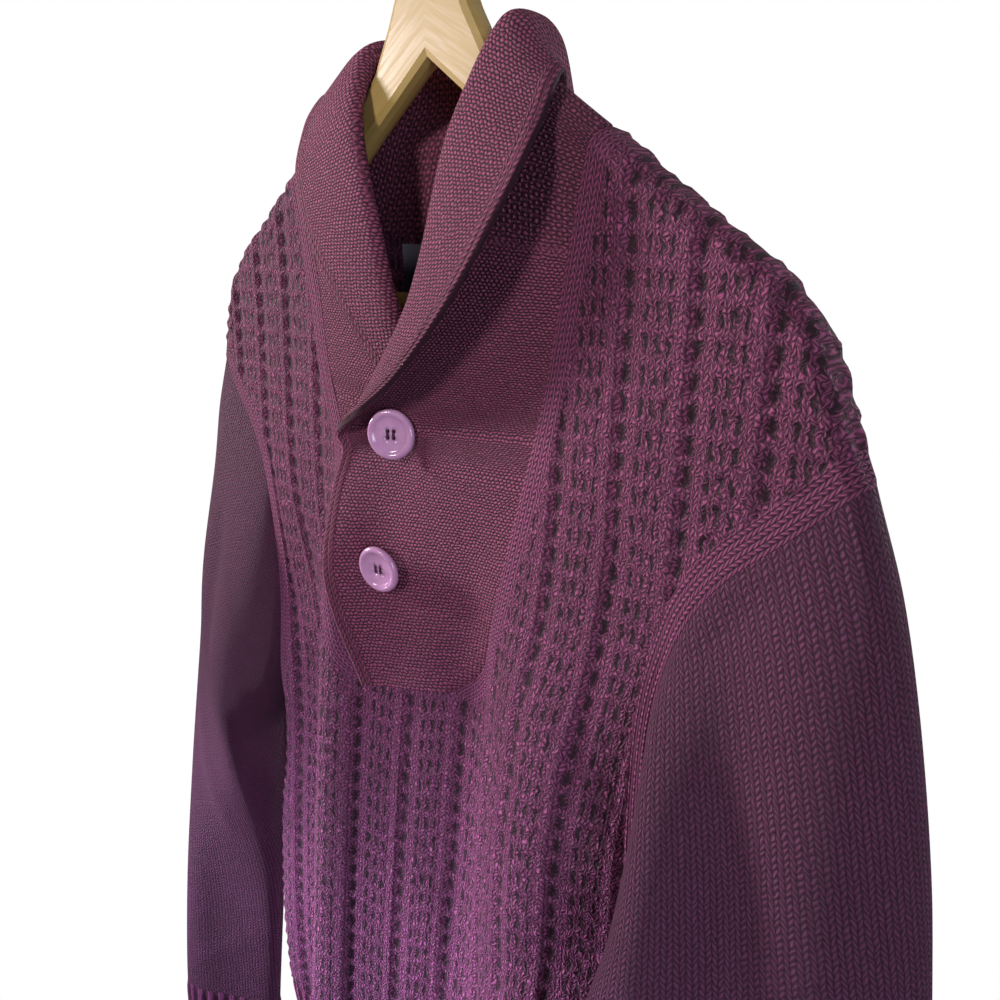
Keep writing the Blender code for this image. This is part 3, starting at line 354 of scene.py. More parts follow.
class Wire:
    """A shader socket that takes part in ordinary sums."""

    def __init__(self, tree, socket):
        self.tree = tree
        self.socket = socket

    def node(self, kind, inputs, output=0, **settings):
        """One output of a new node of any kind."""
        made = self.tree.nodes.new(kind)
        for key, value in settings.items():
            setattr(made, key, value)
        self.feed(made, inputs)
        return Wire(self.tree, made.outputs[output])

    def feed(self, node, inputs):
        """Set a node's inputs, by their names or numbers, to numbers and wires."""
        for key, value in inputs.items():
            if isinstance(value, Wire):
                self.tree.links.new(value.socket, node.inputs[key])
            else:
                node.inputs[key].default_value = value

    def math(self, operation, *others):
        """Math node with this wire as its first number."""
        return self.node("ShaderNodeMath", dict(enumerate((self, *others))), operation=operation)

    def __add__(self, other):
        return self.math("ADD", other)

    def __sub__(self, other):
        return self.math("SUBTRACT", other)

    def __rsub__(self, other):
        return self * -1.0 + other

    def __mul__(self, other):
        return self.math("MULTIPLY", other)

    def __truediv__(self, other):
        return self.math("DIVIDE", other)

    def __mod__(self, other):
        return self.math("FLOORED_MODULO", other)

    def __pow__(self, other):
        return self.math("POWER", other)

    __radd__ = __add__
    __rmul__ = __mul__

    def smooth(self, low, high, start=0.0, finish=1.0):
        """From start to finish as this wire goes from low to high."""
        return self.node("ShaderNodeMapRange", {0: self, 1: low, 2: high, 3: start, 4: finish},
                         interpolation_type="SMOOTHSTEP")

    def mixed(self, low, high):
        """Colour between low and high."""
        return self.node("ShaderNodeMix", {0: self, 6: low, 7: high}, 2, data_type="RGBA")

    def wave(self):
        """1 at each whole number and 0 halfway between."""
        return (self * math.tau).math("COSINE") * 0.5 + 0.5

    def axis(self, number):
        """One number of a place, 0 to 2."""
        return self.node("ShaderNodeSeparateXYZ", {0: self}, number)

    def noise(self, scale, detail, output=0):
        """Random cloud over a place; output 1 gives three of them."""
        return self.node("ShaderNodeTexNoise", {"Vector": self, "Scale": scale, "Detail": detail},
                         output)

    def bump(self, distance, strength=1.0):
        """Normal of a surface with this height."""
        return self.node("ShaderNodeBump",
                         {"Height": self, "Distance": distance, "Strength": strength})

    def place(self):
        """Place on the object, in metres."""
        return self.node("ShaderNodeTexCoord", {}, 3)


def new_material(name):
    """A material, its shader node and a wire that starts its sums."""
    material = bpy.data.materials.new(name)
    material.use_nodes = True
    tree = material.node_tree
    return material, tree.nodes["Principled BSDF"], Wire(tree, None)


def colour(red, green, blue):
    """Colour from its values on a screen, 0 to 255."""
    line = [((v / 255 + 0.055) / 1.055) ** 2.4 for v in (red, green, blue)]
    return (*line, 1.0)


def stitches(u, v, wale, course):
    """Plain knitting seen close: pairs of slanted loops that meet in a V."""
    half = (u / wale % 1.0 - 0.5).math("ABSOLUTE") - 0.25
    column = (1.0 - half * half * 16.0).math("MAXIMUM", 0.0) ** 0.6
    return column * ((v / course - half * 2.0).wave() * 0.65 + 0.35)


def beads(u, v, wale, course, lean):
    """Plain knitting seen from afar: one column of slanted loops to a wale."""
    across = u / wale % 1.0 - 0.5
    column = (1.0 - across * across * 4.0).math("MAXIMUM", 0.0) ** 0.7
    return column * ((v / course + across * lean).wave() * 0.6 + 0.4)


def bricks(u, v, wide, high):
    """Close plain knitting seen from afar: rows of small ovals, each row half an oval along."""
    row = v / high
    part = row % 1.0
    shift = (row - part) % 2.0 * 0.5
    side = (u / wide + shift) % 1.0 - 0.5
    part = part - 0.5
    return (1.0 - (side * side + part * part) * 3.6).math("MAXIMUM", 0.0) ** 0.9


def knit_material(name, pattern, bump, shadow, wander, high, low):
    """Knitted wool whose pattern gives its height.

    Bump is that height in metres, shadow how dark the shade painted into the gaps is and wander
    how far the loops stray.
    High and low are its colours at the top and at the foot of the garment.
    """
    material, shader, start = new_material(name)
    knit = start.node("ShaderNodeUVMap", {}, uv_map="Knit")
    seam = start.node("ShaderNodeUVMap", {}, uv_map="Seam")
    stray = knit.noise(260.0, 1.0, output=1)
    u, v = (knit.axis(k) + (stray.axis(k) - 0.5) * wander for k in (0, 1))
    place = start.place()
    fuzz = place.noise(1100.0, 2.0)
    cloud = place.noise(9.0, 3.0)
    height = pattern(u, v, seam.axis(0), seam.axis(1)) * 0.8 + fuzz * 0.4
    tone = place.axis(2).smooth(-0.78, -0.22).mixed(low, high)
    # Painted shade: the colour darkens in the gaps, where the height is low, times a cloud of tone.
    light = height.smooth(0.15, 0.90, shadow, 1.25) * cloud.smooth(0.2, 0.8, 0.9, 1.1)
    base = start.node("ShaderNodeVectorMath", {0: tone, 3: light}, operation="SCALE")
    start.feed(shader, {"Base Color": base, "Normal": height.bump(bump), "Roughness": 0.8,
                        "Sheen Weight": 0.04, "Sheen Roughness": 0.45,
                        "Sheen Tint": (0.85, 0.45, 0.70, 1.0)})
    return material


WALE = 0.0042               # one column of loops
COURSE = 0.0026             # one row of loops
LADDER = 0.0124             # from one rung of a ladder to the next
REPEAT = 8.0                # wales from one ladder to the next
SEAM_BAND = 0.0125          # three plain wales beside a seam
SEAM_COURSE = 0.0032
LADDER_HEIGHT = 0.0002      # relief of the ladders, their rungs, the bands and the pits
RUNG_HEIGHT = 0.0013
BAND_HEIGHT = 0.0009
BAND_SWELL = 0.0005
PIT_DEPTH = 0.0011
PIT_RISE = 0.0010
PLAIN_HEIGHT = 0.0006


def ladder_height(u, v):
    """Relief of the texture in the mesh.

    Each repeat has a pitted groove about its first wale, a ladder up to the sixth and a raised
    band beside it.
    """
    wale = u / WALE % REPEAT
    pit = 1.0 - smooth_step(0.4, 1.3, np.abs((wale + 4.0) % REPEAT - 4.0))
    ladder = smooth_step(1.2, 2.0, wale) * (1.0 - smooth_step(5.2, 6.0, wale))
    band = smooth_step(5.5, 6.2, wale) * (1.0 - smooth_step(6.8, 7.5, wale))
    uneven = 0.12 * np.sin(wale * 2.1 + v * 90.0) + 0.10 * np.sin(u * 410.0 + v * 37.0)
    ridge = (0.5 + 0.5 * np.cos(math.tau * (v / LADDER + uneven))) ** 1.4
    swell = 0.5 + 0.5 * np.cos(math.tau * (v / LADDER + 0.5))
    return (ladder * (LADDER_HEIGHT + RUNG_HEIGHT * ridge)
            + band * (BAND_HEIGHT + BAND_SWELL * swell) - pit * (PIT_DEPTH - PIT_RISE * ridge))


def ladder_pattern(u, v, near, along):
    """Fine knitting of the same texture, with plain wales beside the seams."""
    wale = u / WALE % REPEAT
    rung = (v / LADDER).wave().smooth(0.40, 0.85)
    gap = ((wale - 2.35) / 1.3).wave().smooth(0.55, 0.95)
    gap = gap * wale.smooth(1.6, 1.9) * wale.smooth(5.4, 5.7, 1.0, 0.0)
    pit = ((wale + 4.0) % REPEAT - 4.0).math("ABSOLUTE").smooth(0.15, 0.60, 1.0, 0.0)
    hollow = (gap * (1.0 - rung)).math("MAXIMUM", pit * (1.0 - rung * 0.8))
    loops = stitches(u, v, WALE, COURSE) ** 1.7
    coarse = loops * (1.0 - hollow * 0.75) - hollow * 0.20 + 0.06
    chain = stitches(near, along, SEAM_BAND / 3.0, SEAM_COURSE) ** 1.3
    plain = near.smooth(SEAM_BAND, SEAM_BAND + 0.0015, 1.0, 0.0)
    return coarse * (1.0 - plain) + chain * plain


textured = knit_material("textured_knit", ladder_pattern, bump=0.0020, shadow=0.07, wander=0.0046,
                         high=colour(172, 84, 128), low=colour(182, 98, 164))
# The lengths of cloth are read from a table of this reach and count, across and down. One step of
# it counts no deeper than the steepest, so that a sharp edge doesn't stretch the knitting.
LENGTHS_ACROSS = (-0.32, 0.32, 321)
LENGTHS_DOWN = (-0.02, 0.76, 261)
STEEPEST_ACROSS = 0.0025
STEEPEST_DOWN = 0.0030


def cloth_lengths(face, x, drop):
    """Lengths of cloth across from the middle and down from the top to places on a panel."""
    xs = np.linspace(*LENGTHS_ACROSS)
    drops = np.linspace(*LENGTHS_DOWN)
    grid_x, grid_drop = np.meshgrid(xs, drops)
    y = body_y(face, grid_x, grid_drop)
    deep = np.clip(np.diff(y, axis=1), -STEEPEST_ACROSS, STEEPEST_ACROSS)
    wide = np.insert(np.cumsum(np.hypot(np.diff(xs), deep), axis=1), 0, 0.0, axis=1)
    wide -= wide[:, len(xs) // 2][:, None]
    deep = np.clip(np.diff(y, axis=0), -STEEPEST_DOWN, STEEPEST_DOWN)
    long = np.insert(np.cumsum(np.hypot(np.diff(drops)[:, None], deep), axis=0), 0, 0.0, axis=0)
    a = (drop - drops[0]) / (drops[1] - drops[0])
    b = (x - xs[0]) / (xs[1] - xs[0])
    i = np.clip(a.astype(int), 0, len(drops) - 2)
    j = np.clip(b.astype(int), 0, len(xs) - 2)
    a = a - i
    b = b - j
    return np.stack([(t[i, j] * (1 - b) + t[i, j + 1] * b) * (1 - a)
                     + (t[i + 1, j] * (1 - b) + t[i + 1, j + 1] * b) * a for t in (wide, long)], -1)


def creases(lengths, table):
    """Soft ridges, and troughs where the depth is negative, along lines on the cloth."""
    total = np.zeros(lengths.shape[:-1])
    for u1, v1, u2, v2, width, depth in table:
        start = np.array([u1, v1])
        way = np.array([u2, v2]) - start
        part = np.clip(np.sum((lengths - start) * way, axis=-1) / np.dot(way, way), 0.0, 1.0)
        apart = np.linalg.norm(lengths - start - part[..., None] * way, axis=-1)
        fade = np.sin(math.pi * np.clip(part * 0.9 + 0.05, 0.0, 1.0)) ** 0.6
        total += depth * fade * np.exp(-(apart / (width * (0.7 + 0.3 * fade))) ** 2)
    return total


# Where each crease runs on the cloth, from the middle and from the top.
#                 u1      v1     u2      v2     width  depth
FRONT_CREASES = ((0.175, 0.385, 0.085, 0.300, 0.016, 0.0030),
                 (0.190, 0.300, 0.120, 0.210, 0.014, -0.0022),
                 (-0.175, 0.385, -0.090, 0.290, 0.016, 0.0030),
                 (0.150, 0.420, 0.060, 0.520, 0.018, -0.0030),
                 (-0.160, 0.430, -0.080, 0.540, 0.020, -0.0030),
                 (0.020, 0.470, 0.060, 0.640, 0.018, 0.0025))
BACK_CREASES = ((0.180, 0.390, 0.060, 0.300, 0.018, 0.0035),
                (-0.180, 0.390, -0.060, 0.300, 0.018, 0.0035),
                (0.150, 0.250, 0.040, 0.180, 0.016, -0.0025),
                (-0.150, 0.250, -0.040, 0.180, 0.016, -0.0025),
                (0.120, 0.450, 0.020, 0.600, 0.020, 0.0030),
                (-0.140, 0.440, -0.060, 0.620, 0.020, -0.0030))

MIDDLE_CELLS = 72
INSET_CELLS = 120           # down to the foot of the inset, on to the underarm and to the ribbing
UNDERARM_CELLS = 27
SKIRT_CELLS = 96
SEAM_FADE = 0.004           # how far from a seam, and rows from the top, the relief is full
TOP_FADE = 0.03

for name, face, side_cells, table, area in (("front", -1, 120, FRONT_CREASES, 0.215),
                                            ("back", 1, 90, BACK_CREASES, 0.260)):
    side = np.linspace(MIDDLE, 1.0, side_cells + 1)
    middle = np.linspace(-MIDDLE, MIDDLE, MIDDLE_CELLS + 1)
    across = np.concatenate([-side[::-1], middle[1:-1], side])
    foot = INSET_COUNT / YOKE_COUNT
    down = np.concatenate([foot * np.linspace(0.0, 1.0, INSET_CELLS + 1) ** 1.3,
                           np.linspace(foot, 1.0, UNDERARM_CELLS + 1)[1:],
                           np.linspace(1.0, 2.0, SKIRT_CELLS + 1)[1:]])
    columns, rows = np.meshgrid(across, down)
    base = body_point(face, columns, rows)
    normals = sheet_normals(base, False, (0.0, face, 0.0))
    lengths = cloth_lengths(face, base[..., 0], NOTCH_Z - base[..., 2])
    width = run_length(base, 1)
    height = run_length(base, 0)
    near = np.minimum(width, width[:, -1:] - width)
    near[down > 1.0] = 1.0
    kept = np.ones((len(down) // STRIDE, len(across) // STRIDE), bool)
    if face < 0:
        right = side_cells
        left = side_cells + MIDDLE_CELLS
        kept[:INSET_CELLS // STRIDE, right // STRIDE:left // STRIDE] = False
        inset = np.minimum(np.abs(width - width[:, right:right + 1]),
                           np.abs(width - width[:, left:left + 1]))
        near = np.where(rows <= foot, np.minimum(near, inset), near)
    fade = smooth_step(0.0, SEAM_FADE, near) * smooth_step(0.0, TOP_FADE, rows)
    plain = 1.0 - smooth_step(SEAM_BAND, SEAM_BAND + 0.002, near)
    relief = mix(ladder_height(lengths[..., 0], lengths[..., 1]), PLAIN_HEIGHT, plain) * fade
    base = base + normals * (creases(lengths, table) * fade)[..., None]
    layers = {"Knit": lengths, "Seam": np.stack([near, height], -1)}
    panel = shell(name, base, normals, relief, np.full(near.shape, CLOTH), layers, kept=kept)
    panel.data.materials.append(textured)
    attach(panel, "root")
    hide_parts(name)

# ==== The hem
# A ribbed band at the foot of each panel, knitted two by two and drawn in a little.
RIB = 0.0092                # from one rib to the next
RIB_COURSE = 0.0028
RIB_HEIGHT = 0.0010
HEM_COLUMNS = 264
HEM_ROWS = 36
HEM_CROWD = 0.1             # how much closer the columns lie toward the middle
HEM_GAP = 0.0004            # clearance between the panel and the top of the ribbing
EDGE_ROWS = 0.1             # rows below the top in which the ribs come up


def rib_pattern(u, v, near, along):
    """Two plain wales and two sunken ones, in turn."""
    ridge = (u / RIB).wave().smooth(0.15, 0.75)
    return ridge * beads(u, v, RIB / 4.0, RIB_COURSE, 0.8) * 0.75 + ridge * 0.25


ribbed = knit_material("ribbing", rib_pattern, bump=0.0014, shadow=0.25, wander=0.0018,
                       high=colour(140, 66, 104), low=colour(146, 70, 126))

for name, face in (("hem_front", -1), ("hem_back", 1)):
    columns, rows = np.meshgrid(np.sin(np.linspace(-0.5, 0.5, HEM_COLUMNS + 1) * math.pi),
                                np.linspace(2.0, 3.0, HEM_ROWS + 1))
    part = np.abs(columns)
    columns = np.sign(columns) * np.where(part < 0.5, part * (1.0 - HEM_CROWD),
                                          1.0 - (1.0 - part) * (1.0 + HEM_CROWD))
    base = body_point(face, columns, rows)
    base[..., 2] -= HEM_GAP * (1.0 - (rows - 2.0))
    normals = sheet_normals(base, False, (0.0, face, 0.0))
    width = run_length(base, 1)
    middle = width[:, HEM_COLUMNS // 2:HEM_COLUMNS // 2 + 1]
    lengths = np.stack([width - middle, run_length(base, 0)], -1)
    edge = smooth_step(0.0, EDGE_ROWS, rows - 2.0)
    relief = edge * RIB_HEIGHT * np.cos(math.tau * lengths[..., 0] / RIB)
    layers = {"Knit": lengths, "Seam": np.full_like(lengths, 1.0)}
    band = shell(name, base, normals, relief, np.full(rows.shape, CLOTH), layers)
    band.data.materials.append(ribbed)
    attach(band, "root")
    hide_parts(name)

# ==== The sleeves and their cuffs
# Plain knitted tubes set into the armholes, with the wales running down to narrow ribbed cuffs.
# The wearer's left one hangs before the body and the right one beside it.

# Sleeves as they hang: outer edge, inner edge, half the depth, and how far the front is pushed
# inward and forward over the body.
#               out_x  out_y   out_drop in_x  in_y    in_drop depth  inward forward
SLEEVE_LEFT = ((0.235, 0.000, 0.162, 0.1780, 0.000, 0.4130, 0.022, 0.000, 0.000),
               (0.248, 0.000, 0.198, 0.1830, -0.003, 0.4260, 0.028, 0.002, 0.014),
               (0.259, 0.000, 0.240, 0.1860, -0.009, 0.4400, 0.031, 0.014, 0.022),
               (0.270, 0.000, 0.290, 0.1860, -0.019, 0.4560, 0.032, 0.034, 0.026),
               (0.280, 0.000, 0.344, 0.1800, -0.034, 0.4760, 0.031, 0.046, 0.028),
               (0.292, -0.003, 0.420, 0.1700, -0.052, 0.5060, 0.027, 0.040, 0.018),
               (0.301, -0.010, 0.500, 0.1620, -0.067, 0.5520, 0.024, 0.022, 0.008),
               (0.308, -0.020, 0.605, 0.1780, -0.077, 0.6220, 0.022, 0.004, 0.002),
               (0.306, -0.031, 0.705, 0.2080, -0.078, 0.7070, 0.020, 0.000, 0.000),
               (0.302, -0.035, 0.779, 0.2200, -0.078, 0.7810, 0.018, 0.000, 0.000))
SLEEVE_RIGHT = ((0.235, 0.000, 0.162, 0.1780, 0.000, 0.4130, 0.022, 0.000, 0.000),
                (0.245, -0.003, 0.198, 0.1830, -0.004, 0.4240, 0.027, 0.000, 0.002),
                (0.253, -0.006, 0.240, 0.1870, -0.008, 0.4360, 0.030, 0.000, 0.006),
                (0.261, -0.012, 0.290, 0.1900, -0.010, 0.4500, 0.032, 0.004, 0.010),
                (0.267, -0.018, 0.344, 0.1930, -0.012, 0.4680, 0.031, 0.012, 0.012),
                (0.274, -0.030, 0.420, 0.1960, -0.015, 0.4980, 0.028, 0.018, 0.010),
                (0.280, -0.042, 0.500, 0.1960, -0.018, 0.5450, 0.026, -0.004, 0.002),
                (0.285, -0.057, 0.605, 0.1990, -0.023, 0.6200, 0.024, -0.020, -0.004),
                (0.284, -0.070, 0.705, 0.2030, -0.029, 0.7070, 0.020, -0.014, -0.003),
                (0.280, -0.074, 0.779, 0.2070, -0.033, 0.7810, 0.018, -0.008, 0.000))
FRONT_PUSH = 0.62           # half turns round the sleeve, from its outer edge, of the pushed place
FRONT_PUSH_WIDTH = 0.26
SLEEVE_POWER = 0.9          # roundness of a sleeve's section
AXIS_STEP = 0.3             # rows up and down that give the way a sleeve runs
HEAD_ROWS = 4.0             # rows over which the armhole's curve fades out of the sleeve
CUFF_ROW = 8.0              # row of the table where the ribbed cuff starts
SLEEVE_TURNS = 192          # cells round a sleeve and along it
SLEEVE_CELLS = 252
CUFF_CELLS = 42
SLEEVE_WALE = 0.0054
SLEEVE_COURSE = 0.0027


def armhole_loop(side, turns):
    """Points of the armhole seam; turns run from the shoulder tip, down the front, up the back."""
    front = np.sin(turns) >= 0.0
    place = 0.5 - 0.5 * np.cos(turns)
    armhole = np.array(ARMHOLE)
    x, drop = split(through(np.linspace(0.0, 1.0, len(ARMHOLE)), armhole, place))
    y = np.where(front, body_y(-1, side * x, drop), body_y(1, side * x, drop))
    return np.stack([side * x, y, NOTCH_Z - drop], axis=-1)


def sleeve_point(side, turns, rows):
    """Point of a sleeve: rows follow its table, and turns run round it."""
    turns, rows = np.broadcast_arrays(np.asarray(turns, float), np.asarray(rows, float))
    table = np.array(SLEEVE_LEFT if side > 0 else SLEEVE_RIGHT)
    places = np.arange(len(table), dtype=float)

    def edges(at):
        values = through(places, table, at)
        out = np.stack([side * values[..., 0], values[..., 1], NOTCH_Z - values[..., 2]], -1)
        inn = np.stack([side * values[..., 3], values[..., 4], NOTCH_Z - values[..., 5]], -1)
        push = np.stack([-side * values[..., 7], -values[..., 8], 0.0 * values[..., 8]], -1)
        return out, inn, values[..., 6:7], push

    def ring(at):
        out, inn, depth, push = edges(at)
        out_next, inn_next = edges(at + AXIS_STEP)[:2]
        out_last, inn_last = edges(at - AXIS_STEP)[:2]
        half = (out - inn) / 2
        axis = (out_next + inn_next) - (out_last + inn_last)
        forward = np.cross(half, axis)
        forward /= np.linalg.norm(forward, axis=-1, keepdims=True)
        forward *= np.where(forward[..., 1:2] > 0.0, -1.0, 1.0)
        cosine = np.cos(turns)[..., None]
        sine = np.sin(turns)[..., None]
        bulge = np.sign(sine) * np.abs(sine) ** SLEEVE_POWER
        away = (turns / math.pi - FRONT_PUSH + 1.0) % 2.0 - 1.0
        fold = np.exp(-(away / FRONT_PUSH_WIDTH) ** 2)[..., None]
        return (out + inn) / 2 + half * cosine + forward * depth * bulge + push * fold

    fade = (1.0 - smooth_step(0.0, HEAD_ROWS, rows))[..., None]
    head = armhole_loop(side, turns) - ring(np.zeros_like(rows))
    return ring(rows) + head * fade


def jersey_pattern(u, v, near, along):
    """Plain knitting all over."""
    return stitches(u, v, SLEEVE_WALE, SLEEVE_COURSE) ** 1.3


jersey = knit_material("plain_knit", jersey_pattern, bump=0.0013, shadow=0.22, wander=0.0018,
                       high=colour(112, 54, 86), low=colour(118, 62, 106))

# Where each crease runs: round the sleeve from its outer edge, and up from the cuff.
#                u1      v1     u2      v2     width  depth
LEFT_CREASES = ((0.080, 0.500, 0.095, 0.180, 0.022, -0.0080),
                (0.120, 0.480, 0.140, 0.250, 0.016, 0.0040),
                (0.060, 0.520, 0.085, 0.340, 0.020, -0.0040),
                (0.040, 0.300, 0.060, 0.060, 0.022, -0.0035),
                (-0.050, 0.300, -0.080, 0.220, 0.014, 0.0030),
                (-0.070, 0.420, -0.040, 0.330, 0.014, -0.0030),
                (0.100, 0.060, 0.040, 0.030, 0.012, 0.0025))
RIGHT_CREASES = ((0.060, 0.440, 0.090, 0.330, 0.014, -0.0035),
                 (0.050, 0.300, 0.080, 0.180, 0.014, 0.0025),
                 (-0.060, 0.420, -0.050, 0.320, 0.014, -0.0030),
                 (-0.050, 0.250, -0.080, 0.150, 0.016, 0.0030),
                 (0.080, 0.060, 0.030, 0.030, 0.012, 0.0025))

for word, side, table in (("left", 1, LEFT_CREASES), ("right", -1, RIGHT_CREASES)):
    turns = np.linspace(-math.pi, math.pi, SLEEVE_TURNS + 1)
    sleeve_rows = np.linspace(0.0, CUFF_ROW, SLEEVE_CELLS + 1)
    cuff_rows = np.linspace(CUFF_ROW, len(SLEEVE_LEFT) - 1.0, CUFF_CELLS + 1)
    for name, rows, fabric, finish in ((f"sleeve_{word}", sleeve_rows, jersey, "plain_knit"),
                                       (f"cuff_{word}", cuff_rows, ribbed, "ribbing")):
        columns, downs = np.meshgrid(turns, rows)
        base = sleeve_point(side, columns, downs)
        normals = sheet_normals(base, True, (side, 0.0, 0.0))
        around = run_length(base, 1)
        up = run_length(base[::-1], 0)[::-1]
        middle = SLEEVE_TURNS // 2
        lengths = np.stack([around - around[:, middle:middle + 1], up], -1)
        if fabric is ribbed:
            lengths[..., 0] *= np.round(around[-1, -1] / RIB) * RIB / around[:, -1:]
            edge = smooth_step(0.0, EDGE_ROWS, downs - CUFF_ROW)
            relief = RIB_HEIGHT * np.cos(math.tau * lengths[..., 0] / RIB) * edge
        else:
            edges = smooth_step(0.0, 0.5, downs) * smooth_step(0.0, 0.4, CUFF_ROW - downs)
            relief = creases(lengths, table) * edges
        layers = {"Knit": lengths, "Seam": np.full_like(lengths, 1.0)}
        tube = shell(name, base, normals, relief, CLOTH - np.minimum(relief, 0.0), layers,
                     closed=True)
        tube.data.materials.append(fabric)
        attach(tube, "root")
        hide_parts(name)

# ==== The shawl collar
# Two bands in a finer gauge. Each is the plain half of the placket below and folds over into the
# lapel and the back of the neck above, with a doubled chain edge. The left one laps over the right.
BAND = 0.0028               # thickness of the bands
LAYER = 0.0052              # how far the left band stands off where it laps over the right one
OVERLAP_LEAD = 0.008        # how far before the lap it has risen that far
FOLD_PLACE = 6.25           # rows with a higher place are placket, and the others are folded
ROLL_SIZE = 0.006           # how far the handles of the roll reach, and how far the stand sags
STAND_SAG = 0.003
STAND_PULL = 0.4            # where the other handles of the stand and of the fall lie
FALL_PULL = 0.45
STAND_PARTS = (0.0, 0.22, 0.44, 0.64, 0.80, 0.92, 1.0)
FALL_PARTS = (0.10, 0.26, 0.48, 0.74, 1.0)
COLLAR_PLACES = (10, 9.85, 9.7, 9.5, 9.25, 9, 8.5, 8, 7.25, 6.6, 6, 5.5, 5, 4.5, 4, 3.5, 3, 2.5, 2,
                 1.5, 1, 0.5, 0, -0.6, -1.4, -2.3, -3.2, -4)
COLLAR_CELLS = 9            # cells of the mesh to one of these rows or parts
COUNT_COLUMN = 60           # column beside the roll, along which the rows of loops are counted

# Free edge of each placket band and how far it stands off the front.
#                drop    left_x  left_lift right_x  right_lift
PLACKET_EDGE = ((0.1900, -0.047, 0.0120, 0.020, 0.0015),
                (0.2150, -0.053, 0.0080, 0.020, 0.0000),
                (0.2500, -0.050, 0.0064, 0.018, 0.0000),
                (0.2900, -0.038, 0.0058, 0.015, 0.0000),
                (0.3235, -0.026, 0.0056, 0.012, 0.0000))

# Shawl collar from the top of the placket to the middle of the back neck. The seam place counts
# yoke rows down the inset seam, 0 at the neck point, and -4 is the middle of the back neck. The
# roll is the fold line and the edge is the free edge, which lies folded over the outside.
#               place roll_x  roll_y  roll_drop edge_x edge_y  edge_drop
COLLAR_LEFT = ((6.0, -0.043, -0.0300, 0.181, -0.0455, -0.0370, 0.181),
               (5.0, -0.006, -0.0345, 0.144, 0.018, -0.0440, 0.146),
               (4.0, 0.020, -0.0340, 0.110, 0.060, -0.0430, 0.107),
               (3.0, 0.032, -0.0310, 0.077, 0.081, -0.0380, 0.076),
               (2.0, 0.037, -0.0250, 0.045, 0.091, -0.0300, 0.052),
               (1.0, 0.043, -0.0160, 0.018, 0.090, -0.0160, 0.032),
               (0.0, 0.050, 0.0000, -0.009, 0.086, 0.0010, 0.0130),
               (-0.5, 0.049, 0.0100, -0.008, 0.081, 0.0140, 0.021),
               (-1.0, 0.047, 0.0190, -0.006, 0.073, 0.0270, 0.036),
               (-2.0, 0.036, 0.0310, -0.002, 0.054, 0.0430, 0.053),
               (-3.0, 0.019, 0.0350, 0.000, 0.030, 0.0450, 0.062),
               (-4.0, 0.000, 0.0360, 0.002, 0.000, 0.0460, 0.066))
COLLAR_RIGHT = ((6.0, 0.019, -0.0078, 0.183, 0.0180, -0.0148, 0.1835),
                (5.0, 0.001, -0.0135, 0.146, -0.022, -0.0205, 0.151),
                (4.0, -0.016, -0.0175, 0.111, -0.055, -0.0265, 0.113),
                (3.0, -0.028, -0.0175, 0.077, -0.081, -0.0260, 0.080),
                (2.0, -0.039, -0.0170, 0.043, -0.096, -0.0220, 0.055),
                (1.0, -0.046, -0.0135, 0.014, -0.097, -0.0180, 0.033),
                (0.0, -0.051, 0.0000, -0.009, -0.090, -0.0030, 0.008),
                (-1.0, -0.048, 0.0200, -0.010, -0.076, 0.0310, 0.028),
                (-2.0, -0.036, 0.0310, -0.005, -0.055, 0.0400, 0.050),
                (-3.0, -0.019, 0.0350, 0.000, -0.030, 0.0450, 0.062),
                (-4.0, 0.000, 0.0360, 0.002, 0.000, 0.0460, 0.066))


def seam_point(side, place):
    """Point and normal of the seam that carries the collar, with place as in the tables."""
    if place >= 0.0:
        face = -1
        across = side * MIDDLE
        down = place / YOKE_COUNT
    else:
        face = 1
        across = side * MIDDLE * (1.0 + place / 4.0)
        down = 0.0
    step = 1e-3
    here = body_point(face, across, down)
    wide = body_point(face, across + step, down) - body_point(face, across - step, down)
    long = body_point(face, across, down + step) - body_point(face, across, max(down - step, 0.0))
    normal = np.cross(wide, long)
    normal *= np.sign(np.dot(normal, (0.0, face, 0.3))) / np.linalg.norm(normal)
    return here, normal


def placket_row(side, place):
    """Middle of a band's wall along one row of the placket, from the seam to the free edge."""
    seam, normal = seam_point(side, place)
    yoke = place / YOKE_COUNT
    drop = NECK_DROP + (UNDERARM_DROP - NECK_DROP) * yoke ** YOKE_POWER
    table = np.array(PLACKET_EDGE)
    left_x, left_lift, right_x, right_lift = through(table[:, 0], table[:, 1:], drop)
    shared = np.linspace(right_x, left_x, len(STAND_PARTS) + len(FALL_PARTS) - 2)
    if side < 0:
        shared = shared[::-1]
    x = np.concatenate([[seam[0], (seam[0] + shared[0]) / 2], shared])
    if side > 0:
        part = np.clip((seam[0] - x) / (seam[0] - left_x), 0.0, 1.0)
        over = np.clip((seam[0] - x) / (seam[0] - right_x - OVERLAP_LEAD), 0.0, 1.0)
        lift = LAYER * over + (left_lift - LAYER) * part ** 3
    else:
        lift = right_lift * np.linspace(0.0, 1.0, len(x)) ** 3
    drops = drop - inset_tilt(yoke) * x
    y = body_y(-1, x, drops) - lift
    row = np.stack([x, y + BAND / 2, NOTCH_Z - drops], axis=-1)
    row[0] = seam - normal * BAND / 2
    return row


def bezier(a, b, c, d, parts):
    """Points of a cubic curve with ends a and d and handles b and c."""
    t = np.array(parts)[:, None]
    return (1 - t) ** 3 * a + 3 * t * (1 - t) ** 2 * b + 3 * t * t * (1 - t) * c + t ** 3 * d


